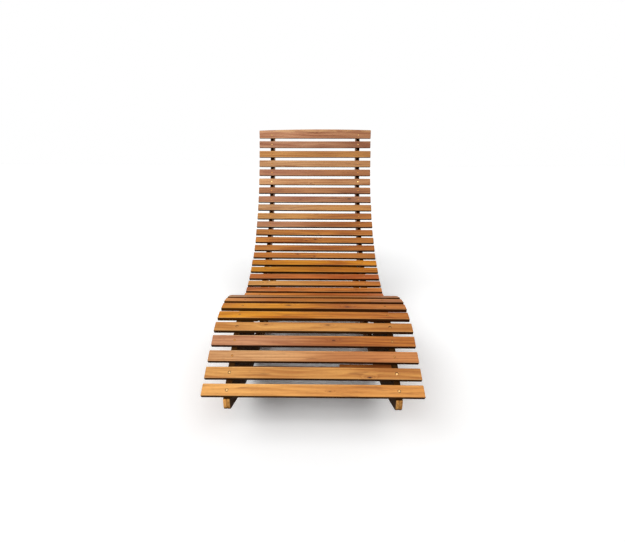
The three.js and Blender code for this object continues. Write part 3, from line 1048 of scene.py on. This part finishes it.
LOOKS = (
    SlatLook(Tone.HONEY, Tone.HONEY, 1.12, 0.65, 60, (Knot(46, -2, 10, 0.5),), 0.5, 0.5, -0.05,
             bright=True, ring=0.85, fade=0.89),
    SlatLook(Tone.HONEY, Tone.HONEY, 0.96, 1.0, 80, (Knot(156, -12, 17, 1.0),), 0.8, -0.5, -0.1,
             bright=True, ring=0.85),
    SlatLook(Tone.TAN, Tone.CLAY, 1.08, 0.8, 110, (), 0.6, 0.4, -0.1, fade=0.9),
    SlatLook(Tone.PINK, Tone.AMBER, 0.98, 1.0, 70, (Knot(60, 2, 15, 0.8),), 0.2, 0.6, -0.1,
             trim=(1.5, 1.1), fade=0.87),
    SlatLook(Tone.HONEY, Tone.HONEY, 0.97, 0.9, 50, (Knot(44, 7, 20, 0.65), Knot(-144, 7, 16, 0.6)),
             0.5, -0.8, -0.1, top_band=0.6, ring=0.9, fade=0.84),
    SlatLook(Tone.GOLD, Tone.AMBER, 1.1, 0.9, 60, (), 0.8, -0.8, -0.1, trim=(1.6, 1.8), fade=0.8),
    SlatLook(Tone.GOLD, Tone.AMBER, 1.08, 1.1, 70, (Knot(-82, 5, 23, 0.9), Knot(109, -5, 23, 0.85)),
             0.5, -0.6, -0.15, trim=(2.0, 0.5), fade=0.89),
    SlatLook(Tone.AMBER, Tone.AMBER, 1.2, 1.0, 70, (), 0.5, -0.9, -0.2, fade=0.75),
    SlatLook(Tone.TAN, Tone.HONEY, 1.0, 1.0, 80, (Knot(-120, 3, 14, 0.5),), 0.5, 0.4, 0.1),
    SlatLook(Tone.AMBER, Tone.RUSSET, 1.0, 1.0, 70, (), -0.4, -0.5, 0.1),
    SlatLook(Tone.PINK, Tone.AMBER, 1.0, 1.0, 90, (Knot(150, -4, 12, 0.6),), 0.3, 0.6, -0.1),
    SlatLook(Tone.GOLD, Tone.HONEY, 1.0, 1.0, 60, (), -0.3, 0.0, 0.15),
    SlatLook(Tone.AMBER, Tone.PINK, 1.0, 1.1, 80, (Knot(30, 6, 12, 0.5),), 0.2, -0.4, 0.0),
    SlatLook(Tone.HONEY, Tone.AMBER, 1.0, 1.0, 70, (), -0.2, 0.5, -0.15),
    SlatLook(Tone.AMBER, Tone.RUSSET, 1.35, 1.0, 75, (), 0.0, -0.7, 0.15, trim=(2.0, 1.8), fade=0.75),
    SlatLook(Tone.RUSSET, Tone.AMBER, 0.97, 1.1, 65, (Knot(187, 2, 16, 0.5),), -0.5, -0.6, 0.0,
             trim=(2.0, 1.4), fade=0.96),
    SlatLook(Tone.HONEY, Tone.AMBER, 0.86, 1.0, 80, (Knot(-210, 4, 12, 0.7),), 0.5, -0.8, 0.15,
             trim=(2.0, 0.4), fade=0.98),
    SlatLook(Tone.RUSSET, Tone.RUSSET, 1.0, 1.0, 70, (), 0.4, 0.4, 0.1, trim=(1.8, 0.4), fade=1.1),
    SlatLook(Tone.GOLD, Tone.GOLD, 0.8, 0.8, 60, (), 0.0, 0.1, -0.15, trim=(1.5, 0.4), fade=0.93),
    SlatLook(Tone.GOLD, Tone.GOLD, 0.87, 0.8, 55, (), 0.8, -0.7, -0.2, fade=0.92),
    SlatLook(Tone.AMBER, Tone.AMBER, 0.98, 1.1, 75, (Knot(-82, 6, 20, 0.95), Knot(0, -8, 17, 0.85)),
             0.5, -0.8, -0.2, trim=(2.0, 1.3), fade=0.68),
    SlatLook(Tone.AMBER, Tone.AMBER, 0.79, 1.0, 80, (), -0.5, -0.3, 0.1, trim=(2.0, 0.4), fade=0.88),
    SlatLook(Tone.AMBER, Tone.AMBER, 0.88, 1.2, 70, (Knot(4, 4, 24, 0.95), Knot(-42, -6, 15, 0.8)),
             -0.5, 0.8, -0.2, trim=(1.8, 0.4), fade=0.7),
    SlatLook(Tone.AMBER, Tone.AMBER, 0.72, 1.0, 75, (Knot(20, -11, 12, 0.7),), -0.5, -0.6, -0.2,
             trim=(0.3, 1.6), fade=0.96),
    SlatLook(Tone.PINK, Tone.AMBER, 0.81, 1.0, 85, (), -0.4, -0.8, 0.1, fade=0.8),
    SlatLook(Tone.HONEY, Tone.AMBER, 0.77, 0.9, 70, (), -0.5, -0.4, 0.1, trim=(0.4, 1.5), fade=0.86),
    SlatLook(Tone.TAN, Tone.HONEY, 0.84, 0.9, 60, (), -0.5, 0.8, -0.1, fade=0.78),
    SlatLook(Tone.PINK, Tone.PINK, 0.87, 1.1, 75, (Knot(184, 2, 24, 0.95), Knot(-76, -3, 13, 0.6)),
             -0.3, -0.8, 0.1, trim=(0.3, 1.8), fade=0.7),
    SlatLook(Tone.CLAY, Tone.CLAY, 0.82, 0.9, 80, (), 0.0, 0.2, 0.1, trim=(0.3, 2.0), fade=0.78),
    SlatLook(Tone.TAN, Tone.TAN, 1.14, 0.9, 70, (Knot(-22, -11, 14, 0.6),), -0.3, -0.2, 0.1,
             trim=(0.3, 1.8), bright=True, fade=0.78),
    SlatLook(Tone.PINK, Tone.CLAY, 0.97, 0.9, 85, (), -0.5, 0.5, 0.1, trim=(0.3, 1.8), fade=0.75),
    SlatLook(Tone.TAN, Tone.TAN, 1.02, 0.9, 80, (), -0.3, -0.8, 0.1, trim=(0.4, 1.0)),
    SlatLook(Tone.HONEY, Tone.HONEY, 0.92, 0.9, 90, (), 0.0, -0.2, 0.2, fade=0.76),
    SlatLook(Tone.ROSE, Tone.ROSE, 1.0, 1.2, 65, (), -0.4, 0.9, 0.15, trim=(1.1, 2.0), bright=True,
             fade=0.74),
    SlatLook(Tone.ROSE, Tone.ROSE, 1.2, 1.0, 70, (Knot(10, 14, 12, 0.7),), 0.2, -0.6, 0.1,
             trim=(1.8, 2.0), bright=True, fade=0.72),
)


@dataclass(frozen=True)
class SlatSeat:
    """Where one slat lies: its middle and the turn about X from flat to its slope."""

    middle: Vector
    slope: float

    @classmethod
    def of_node(cls, node: bpy.types.Object) -> SlatSeat:
        """Read a slat's middle and slope from its solid in the frame.

        Args:
            node: The frame's slat.

        Returns:
            Its seat. The slope is the direction of the slat's width.
        """
        points = {(round(v.co.y, 6), round(v.co.z, 6)) for v in node.data.vertices}
        middle = [sum(point[axis] for point in points) / len(points) for axis in (0, 1)]
        spread = [[point[axis] - middle[axis] for point in points] for axis in (0, 1)]
        yy, zz = (sum(value * value for value in row) for row in spread)
        yz = sum(y * z for y, z in zip(*spread))
        return cls(Vector((0.0, *middle)), 0.5 * math.atan2(2 * yz, yy - zz))

    @property
    def place(self) -> Matrix:
        """Turn and shift from the slat's own axes to the frame's."""
        return Matrix.Translation(self.middle) @ Matrix.Rotation(self.slope, 4, "X")


@dataclass
class SlatDeck:
    """The 35 cross slats, each with its two countersunk screws."""

    count: int = 35
    strips: int = 18
    arris: float = 0.0022
    arris_steps: int = 3
    arris_angle: float = math.radians(40)
    end_width: float = 0.042
    end_bow: float = 0.005
    bow_middle: float = 0.15
    trim_power: int = 6
    sink: float = 0.0014
    screw_radius: float = 0.0030
    screw_height: float = 0.0011
    screw_turn: float = 0.7
    head_rounding: float = 0.35
    slot_width: float = 0.0009
    slot_depth: float = 0.0008
    slot_reach: float = 1.25
    countersink_radius: float = 0.0038
    countersink_taper: float = 0.8
    first_seed: int = 11
    # Painted shade: the right ends are painted darker and warmer, for light that falls off to the right.
    far_painted_shading: Triple = (1.0, 0.90, 0.78)

    def names(self) -> list[str]:
        """Names of the slats from the foot end to the head end."""
        return [f"slat_{number:02d}" for number in range(1, self.count)] + ["head_slat"]

    def bar(self, name: str, is_head: bool) -> bpy.types.Object:
        """Model one slat on its own axes, with eased arrises and two countersinks.

        Args:
            name: The piece's name.
            is_head: Whether it is the wide slat with a bowed edge.

        Returns:
            The new piece.
        """
        made = add_box(name, (SLAT_LENGTH, SLAT_WIDTH, SLAT_THICKNESS))
        with editing(made, "EDGE") as mesh:
            choose(mesh.edges, made, lambda edge: edge.calc_length() > SLAT_LENGTH / 2)
            bpy.ops.mesh.subdivide(number_cuts=self.strips - 1)
        if is_head:
            for vertex in made.data.vertices:
                if vertex.co.y > 0:
                    share = 2 * vertex.co.x / SLAT_LENGTH - self.bow_middle
                    vertex.co.y = self.end_width - SLAT_WIDTH / 2 + self.end_bow * (1 - share * share)
        finish(
            made, "BEVEL", width=self.arris, segments=self.arris_steps,
            limit_method="ANGLE", angle_limit=self.arris_angle,
        )
        for side in SIDES.values():
            cut_away(made, self.countersink((side * RAIL_CENTRE, 0, SLAT_THICKNESS / 2)))
        return made

    def countersink(self, at: Sequence[float]) -> bpy.types.Object:
        """Cone that a screw's seat is cut with.

        Args:
            at: The middle of the cone, on the slat's face.

        Returns:
            The new object.
        """
        cone = add_rod("countersink", self.countersink_radius, 2 * self.sink, at, sides=28)
        with editing(cone, "FACE") as mesh:
            choose(mesh.faces, cone, lambda face: face.normal.z < -0.5)
            taper = (self.countersink_taper, self.countersink_taper, 1)
            bpy.ops.transform.resize(value=taper, center_override=at)
        return cone

    def screw(self) -> bpy.types.Object:
        """Screw head with a crossed slot, standing on its seat at the origin.

        Returns:
            The new object.
        """
        head = add_rod("screw", self.screw_radius, self.screw_height, (0, 0, self.screw_height / 2))
        round_top(head, self.screw_height, self.head_rounding, 2)
        length = self.screw_radius * self.slot_reach
        for across in ((length, self.slot_width), (self.slot_width, length)):
            cut_away(head, add_box("slot", (*across, self.slot_depth), (0, 0, self.screw_height)))
        return head

    def warp(self, piece: bpy.types.Object, look: SlatLook, is_slat: bool) -> None:
        """Bow, shift, turn and trim a straight piece by small amounts.

        Args:
            piece: A slat, or its screws, on the slat's own axes.
            look: How this slat has moved.
            is_slat: Whether the ends are trimmed too.
        """
        half = SLAT_LENGTH / 2
        for vertex in piece.data.vertices:
            point = vertex.co
            share = point.x / half
            point.y += (look.crown * (1 - share * share) + look.shift) * MILLIMETRE
            point.y += math.radians(look.turn) * point.x
            if is_slat:
                trim = look.trim[0] if share < 0 else look.trim[1]
                point.x -= math.copysign(trim * MILLIMETRE, share) * abs(share) ** self.trim_power

    def screws(self, name: str, pattern: bpy.types.Object, turn: float) -> bpy.types.Object:
        """Set both screws of a slat on their seats, on the slat's own axes.

        Args:
            name: The slat's name.
            pattern: The screw.
            turn: How far the screws are turned, in radians.

        Returns:
            Both screws as one object.
        """
        pair = []
        for side_name, side in SIDES.items():
            one = copy_of(pattern, f"{name}_{side_name}_screw")
            seat = Matrix.Translation((side * RAIL_CENTRE, 0, SLAT_THICKNESS / 2 - self.sink))
            one.matrix_world = seat @ Matrix.Rotation(turn + side, 4, "Z")
            settle(one)
            pair.append(one)
        return joined(f"{name}_screws", pair)

    def build(self, frame: dict, effects: Effects) -> None:
        """Make every slat with its screws.

        Args:
            frame: The loaded frame.
            effects: The shared node groups.
        """
        bright, aged = BRASS.build(), AGED_BRASS.build()
        screw = self.screw()
        plain = self.bar("plain_slat", False)
        for index, (name, look) in enumerate(zip(self.names(), LOOKS, strict=True)):
            is_head = name == "head_slat"
            node = frame["nodes"][name]
            seat = SlatSeat.of_node(node)
            piece_name = f"{name}_board"
            slat = self.bar(piece_name, True) if is_head else copy_of(plain, piece_name)
            if is_head:
                seat = self.head_seat(node, seat)
            pair = self.screws(name, screw, self.screw_turn * index)
            for piece in (slat, pair):
                self.warp(piece, look, piece is slat)
                piece.matrix_world = seat.place
                settle(piece)
                smooth(piece)
            material = OiledAcacia(
                title=f"acacia_{name}", near=look.near, far=look.far, place=seat.place,
                half=(SLAT_LENGTH / 2, SLAT_WIDTH / 2, SLAT_THICKNESS / 2), seed=index + self.first_seed,
                shade=look.shade, contrast=look.contrast, bands=look.bands, knots=look.knots,
                top_band=look.top_band, screwed=True, ring=look.ring,
                far_painted_shading=tuple(look.fade * share for share in self.far_painted_shading),
            ).build(effects)
            hand_over(slat, Slot.SLATS, material, name)
            # Screws of the bright brass are partly a painted glint.
            hand_over(pair, Slot.FASTENERS, bright if look.bright else aged)
        bpy.data.objects.remove(screw)
        bpy.data.objects.remove(plain)

    def head_seat(self, node: bpy.types.Object, seat: SlatSeat) -> SlatSeat:
        """Move a seat from the middle of the wide head slat to the middle of its lower 35 mm.

        Args:
            node: The frame's head slat.
            seat: Its slope, with its middle not yet known.

        Returns:
            The seat on the line of the other slats' middles.
        """
        along = Vector((0, math.cos(seat.slope), math.sin(seat.slope)))
        out = Vector((0, -along.z, along.y))
        runs = [vertex.co.dot(along) for vertex in node.data.vertices]
        heights = [vertex.co.dot(out) for vertex in node.data.vertices]
        run = min(runs) + SLAT_WIDTH / 2
        height = (min(heights) + max(heights)) / 2
        return SlatSeat(along * run + out * height, seat.slope)


@dataclass(frozen=True)
class BoardLook:
    """Tones of one board of the frames, and the direction of its grain as a slope in degrees.

    The shares change the shade of the board on the left or on the right. Fade is how bright the far end is
    painted next to the
    near one: painted shade below one and painted light above.
    """

    slope: float = 0.0
    near: Tone = Tone.AMBER
    far: Tone = Tone.AMBER
    shade: float = 0.92
    knots: tuple[Knot, ...] = ()
    left_share: float = 1.0
    right_share: float = 1.0
    fade: float = 1.0


BOARDS = {
    "seat_rail": BoardLook(5, Tone.HONEY, Tone.AMBER, 0.98, (Knot(-140, 30, 20, 0.6),), 1.4, 0.85),
    "back_rail": BoardLook(52, Tone.RUSSET, Tone.AMBER, 0.94, (Knot(150, -8, 22, 0.6),)),
    "rocker": BoardLook(
        0, Tone.HONEY, Tone.AMBER, 0.98, (Knot(-260, 40, 22, 0.7), Knot(310, -30, 18, 0.5))
    ),
    "post": BoardLook(90, Tone.PINK, Tone.AMBER, 0.94),
    "brace": BoardLook(108, Tone.HONEY, Tone.AMBER),
}
STRETCHERS = {
    # Painted shade: the front stretcher lies in the slats' shade and is painted near-black, darkest at its
    # near end.
    "front_stretcher": BoardLook(near=Tone.RUSSET, far=Tone.RUSSET, shade=0.22, fade=1.9),
    "post_stretcher": BoardLook(near=Tone.TAN, knots=(Knot(70, 4, 14, 0.6),)),
    "brace_stretcher": BoardLook(near=Tone.HONEY, knots=(Knot(-90, -8, 15, 0.6),)),
}


@dataclass
class SideFrames:
    """Rails, rockers, posts, braces and stretchers, with their arrises eased."""

    arris: float = 0.0016
    arris_steps: int = 2
    arris_angle: float = math.radians(50)
    weld: float = 0.00001
    flat_angle: float = math.radians(0.4)
    smooth_degrees: float = 32.0
    contrast: float = 1.1
    bands: float = 60.0
    side_shade: float = 0.95
    roughness: float = 0.56
    first_seed: int = 201

    def eased(self, node: bpy.types.Object, name: str) -> bpy.types.Object:
        """Copy one solid of the frame, merge its triangles into faces and ease its arrises.

        Args:
            node: The frame's solid.
            name: The new piece's name.

        Returns:
            The new piece.
        """
        made = bpy.data.objects.new(name, node.data.copy())
        bpy.context.scene.collection.objects.link(made)
        with editing(made, "VERT"):
            bpy.ops.mesh.select_all(action="SELECT")
            bpy.ops.mesh.remove_doubles(threshold=self.weld)
            bpy.ops.mesh.dissolve_limited(angle_limit=self.flat_angle)
        finish(
            made, "BEVEL", width=self.arris, segments=self.arris_steps, limit_method="ANGLE",
            angle_limit=self.arris_angle, use_clamp_overlap=False, miter_outer="MITER_SHARP",
        )
        smooth(made, self.smooth_degrees)
        return made

    def board_place(self, name: str, slope: float) -> Matrix:
        """Axes of a side board: x along its grain, y across it and z along +X.

        Args:
            name: The frame's node.
            slope: Direction of the grain in degrees.

        Returns:
            Turn and shift from the board's own axes to the frame's.
        """
        angle = math.radians(slope)
        grain = Vector((0, math.cos(angle), math.sin(angle)))
        across = Vector((0, -math.sin(angle), math.cos(angle)))
        turn = Matrix((grain, across, Vector((1, 0, 0)))).transposed()
        return Matrix.Translation(middle_of(name)) @ turn.to_4x4()

    def build(self, frame: dict, effects: Effects) -> None:
        """Make both side frames and the stretchers between them.

        Args:
            frame: The loaded frame.
            effects: The shared node groups.
        """
        seeds = itertools.count(self.first_seed)
        for side_name, side in SIDES.items():
            for part, look in BOARDS.items():
                node = f"{side_name}_{part}"
                place = self.board_place(node, look.slope)
                self.dress(frame, effects, node, look, place, next(seeds), inward=-side)
        for node, look in STRETCHERS.items():
            place = SlatSeat.of_node(frame["nodes"][node]).place
            self.dress(frame, effects, node, look, place, next(seeds))

    def dress(
        self, frame: dict, effects: Effects, node: str, look: BoardLook, place: Matrix, seed: int,
        inward: int = 0,
    ) -> None:
        """Ease one board and give it its wood.

        Args:
            frame: The loaded frame.
            effects: The shared node groups.
            node: The frame's node.
            look: The board's tones.
            place: The board's own axes.
            seed: Seed of its figure.
            inward: The direction along X of its inner face, or zero for a stretcher.
        """
        piece = self.eased(frame["nodes"][node], f"{node}_board")
        back = place.inverted()
        points = [back @ vertex.co for vertex in piece.data.vertices]
        half = tuple(max(abs(point[axis]) for point in points) for axis in range(3))
        share = look.left_share if place.translation.x < 0 else look.right_share
        material = OiledAcacia(
            title=f"acacia_{node}", near=look.near, far=look.far, place=place, half=half, seed=seed,
            shade=look.shade * share, contrast=self.contrast, bands=self.bands, knots=look.knots,
            side_shade=self.side_shade, roughness=self.roughness, inward=float(inward),
            far_painted_shading=(look.fade, look.fade, look.fade),
        ).build(effects)
        hand_over(piece, Slot.FRAME, material, node)


@dataclass
class Fasteners:
    """Bolts with domed heads, washers and nuts."""

    head_radius: float = 0.008
    head_height: float = 0.003
    head_rounding: float = 0.8
    socket_radius: float = 0.0026
    washer_radius: float = 0.010
    washer_height: float = 0.0012
    hole_share: float = 1.1
    nut_radius: float = 0.0058
    nut_height: float = 0.005
    nut_chamfer: float = 0.0004
    shank_radius: float = 0.003
    tip_height: float = 0.0075
    tip_chamfer: float = 0.0006
    chamfer_angle: float = math.radians(50)

    def bolt_head(self) -> bpy.types.Object:
        """Domed head with a hexagon socket, standing on the XY plane.

        Returns:
            The new object.
        """
        head = add_rod("bolt_head", self.head_radius, self.head_height, (0, 0, self.head_height / 2), 32)
        round_top(head, self.head_height, self.head_rounding, 5)
        cut_away(head, add_rod("socket", self.socket_radius, self.head_height, (0, 0, self.head_height), 6))
        return head

    def washer(self) -> bpy.types.Object:
        """Round washer with a bevelled rim, standing on the XY plane.

        Returns:
            The new object.
        """
        ring = add_rod("washer", self.washer_radius, self.washer_height, (0, 0, self.washer_height / 2), 32)
        hole = add_rod("hole", self.shank_radius * self.hole_share, 4 * self.washer_height, sides=20)
        cut_away(ring, hole)
        self.chamfer(ring, self.washer_height / 4)
        return ring

    def nut(self) -> bpy.types.Object:
        """Hexagon nut with its bolt's end in it, standing on the XY plane.

        Returns:
            The new object.
        """
        body = add_rod("nut", self.nut_radius, self.nut_height, (0, 0, self.nut_height / 2), 6)
        tip = add_rod("tip", self.shank_radius, self.tip_height, (0, 0, self.tip_height / 2), 20)
        self.chamfer(body, self.nut_chamfer)
        self.chamfer(tip, self.tip_chamfer)
        return joined("nut", [body, tip])

    def chamfer(self, piece: bpy.types.Object, width: float) -> None:
        """Take the sharp edges off a piece."""
        finish(piece, "BEVEL", width=width, segments=1, angle_limit=self.chamfer_angle)

    def set_on(self, pattern: bpy.types.Object, name: str, at: Vector, side: int) -> bpy.types.Object:
        """Copy a fastener to a place on a board's face.

        Args:
            pattern: The fastener, standing on the XY plane.
            name: The copy's name.
            at: Its foot.
            side: The direction along X in which it points.

        Returns:
            The copy.
        """
        made = copy_of(pattern, name)
        made.matrix_world = Matrix.Translation(at) @ Matrix.Rotation(side * math.pi / 2, 4, "Y")
        settle(made)
        smooth(made)
        return made

    def build(self, steel: bpy.types.Material) -> None:
        """Put every bolt, washer and nut in place.

        Args:
            steel: The bolts' material.
        """
        head, washer, nut = self.bolt_head(), self.washer(), self.nut()
        inner, outer = (RAIL_CENTRE + way * BOARD_THICKNESS / 2 for way in (-1, 1))
        for side_name, side in SIDES.items():
            places = {name: middle_of(f"{side_name}_{name}") for name in BOLTS}
            places["front_bolt"] = middle_of("front_stretcher")
            for name, middle in places.items():
                whole_name = f"{side_name}_{name}"
                foot = Vector((side * outer, middle.y, middle.z))
                over = foot + Vector((side * self.washer_height, 0, 0))
                pieces = [
                    self.set_on(washer, f"{whole_name}_washer", foot, side),
                    self.set_on(head, f"{whole_name}_head", over, side),
                ]
                if name.startswith("rail"):
                    back = Vector((side * inner, middle.y, middle.z))
                    under = back - Vector((side * self.washer_height, 0, 0))
                    pieces.append(self.set_on(washer, f"{whole_name}_back_washer", back, -side))
                    pieces.append(self.set_on(nut, f"{whole_name}_nut", under, -side))
                whole = joined(f"{whole_name}_set", pieces)
                nodes = (whole_name,) if name in BOLTS else ()
                hand_over(whole, Slot.FASTENERS, steel, *nodes)
        for pattern in (head, washer, nut):
            bpy.data.objects.remove(pattern)


@dataclass
class Studio:
    """Pale floor, soft light and the camera."""

    photo_width: int = 625
    focal_pixels: float = 379.6
    sensor: float = 36.0
    camera_at: Triple = (0.0040, -1.5484, 0.8068)
    pitch: float = 71.833
    yaw: float = 0.403
    roll: float = 0.217
    clip_start: float = 0.05
    floor_size: float = 30.0
    floor_seen: float = 1.16
    floor_bounce: float = 0.15
    sky_low: float = 0.10
    sky_high: float = 0.24
    sky_rise: float = 0.7
    sun_angle: float = 32.0
    suns: tuple[tuple[float, ...], ...] = (
        (-0.60, -1.10, 1.0, 1.00),
        (-0.05, -0.94, 1.0, 0.68),
        (0.50, -0.94, 1.0, 0.58),
        (-1.00, -0.45, 1.2, 0.58),
        (0.70, -0.45, 1.4, 0.32),
    )

    def add_camera(self) -> None:
        """Stand the camera where the photograph was taken from."""
        data = bpy.data.cameras.new("camera")
        data.sensor_width = self.sensor
        data.lens = self.sensor * self.focal_pixels / self.photo_width
        data.clip_start = self.clip_start
        camera = bpy.data.objects.new("camera", data)
        bpy.context.scene.collection.objects.link(camera)
        turns = ((self.yaw, "Z"), (self.pitch, "X"), (self.roll, "Z"))
        turned = Matrix.Identity(4)
        for degrees, axis in turns:
            turned = turned @ Matrix.Rotation(math.radians(degrees), 4, axis)
        camera.matrix_world = Matrix.Translation(self.camera_at) @ turned
        bpy.context.scene.camera = camera

    def add_floor(self) -> None:
        """Lay a floor that the camera sees as white, with the object's shadow on it."""
        deselect_all()
        bpy.ops.mesh.primitive_plane_add(size=self.floor_size)
        floor = bpy.context.active_object
        floor.name = "floor"
        material = bpy.data.materials.new("floor_paper")
        material.use_nodes = True
        bench = Bench(material.node_tree)
        material.node_tree.nodes.remove(material.node_tree.nodes["Principled BSDF"])
        seen = bench.math("MAXIMUM", *self.straight_rays(bench))
        level = bench.math("MULTIPLY_ADD", seen, self.floor_seen - self.floor_bounce, self.floor_bounce)
        diffuse = bench.node("BsdfDiffuse", {"Color": level})
        bench.feed(material.node_tree.nodes["Material Output"].inputs["Surface"], diffuse.outputs[0])
        floor.data.materials.append(material)

    def straight_rays(self, bench: Bench) -> tuple[Socket, Socket]:
        """Whether a ray comes from the camera, or from a reflection or glass.

        Args:
            bench: Where the nodes go.

        Returns:
            One for a camera ray, and one for a mirrored or transmitted ray.
        """
        rays = bench.node("LightPath").outputs
        mirrored = bench.math("MAXIMUM", rays["Is Glossy Ray"], rays["Is Transmission Ray"])
        return rays["Is Camera Ray"], mirrored

    def add_light(self) -> None:
        """Fill with a grey sky, seen as white, and add wide soft lights from the front and both sides.

        Each row of suns is the direction in which a light lies, and its strength.
        """
        world = bpy.data.worlds.new("studio")
        world.use_nodes = True
        bpy.context.scene.world = world
        bench = Bench(world.node_tree)
        seen = bench.math("MAXIMUM", *self.straight_rays(bench))
        _, _, height = bench.parts(bench.node("TexCoord").outputs["Generated"])
        rise = bench.ease(height, 0.0, self.sky_rise, self.sky_high - self.sky_low)
        lit = bench.math("ADD", rise, self.sky_low)
        strength = bench.math("MAXIMUM", seen, lit)
        background = world.node_tree.nodes["Background"]
        background.inputs["Color"].default_value = (1, 1, 1, 1)
        bench.feed(background.inputs["Strength"], strength)
        for *direction, energy in self.suns:
            data = bpy.data.lights.new("softbox", "SUN")
            data.energy = energy
            data.angle = math.radians(self.sun_angle)
            lamp = bpy.data.objects.new("softbox", data)
            lamp.rotation_euler = Vector(direction).to_track_quat("Z", "Y").to_euler()
            bpy.context.scene.collection.objects.link(lamp)

    def build(self) -> None:
        """Set up the camera, the floor and the light."""
        self.add_camera()
        self.add_floor()
        self.add_light()
        bpy.context.scene.view_settings.view_transform = "Standard"


def main() -> None:
    """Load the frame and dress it."""
    logging.basicConfig(level=logging.INFO, format="%(message)s")
    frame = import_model()
    Studio().build()
    effects = Effects()
    SlatDeck().build(frame, effects)
    SideFrames().build(frame, effects)
    Fasteners().build(STEEL.build())


if __name__ == "__main__":
    main()
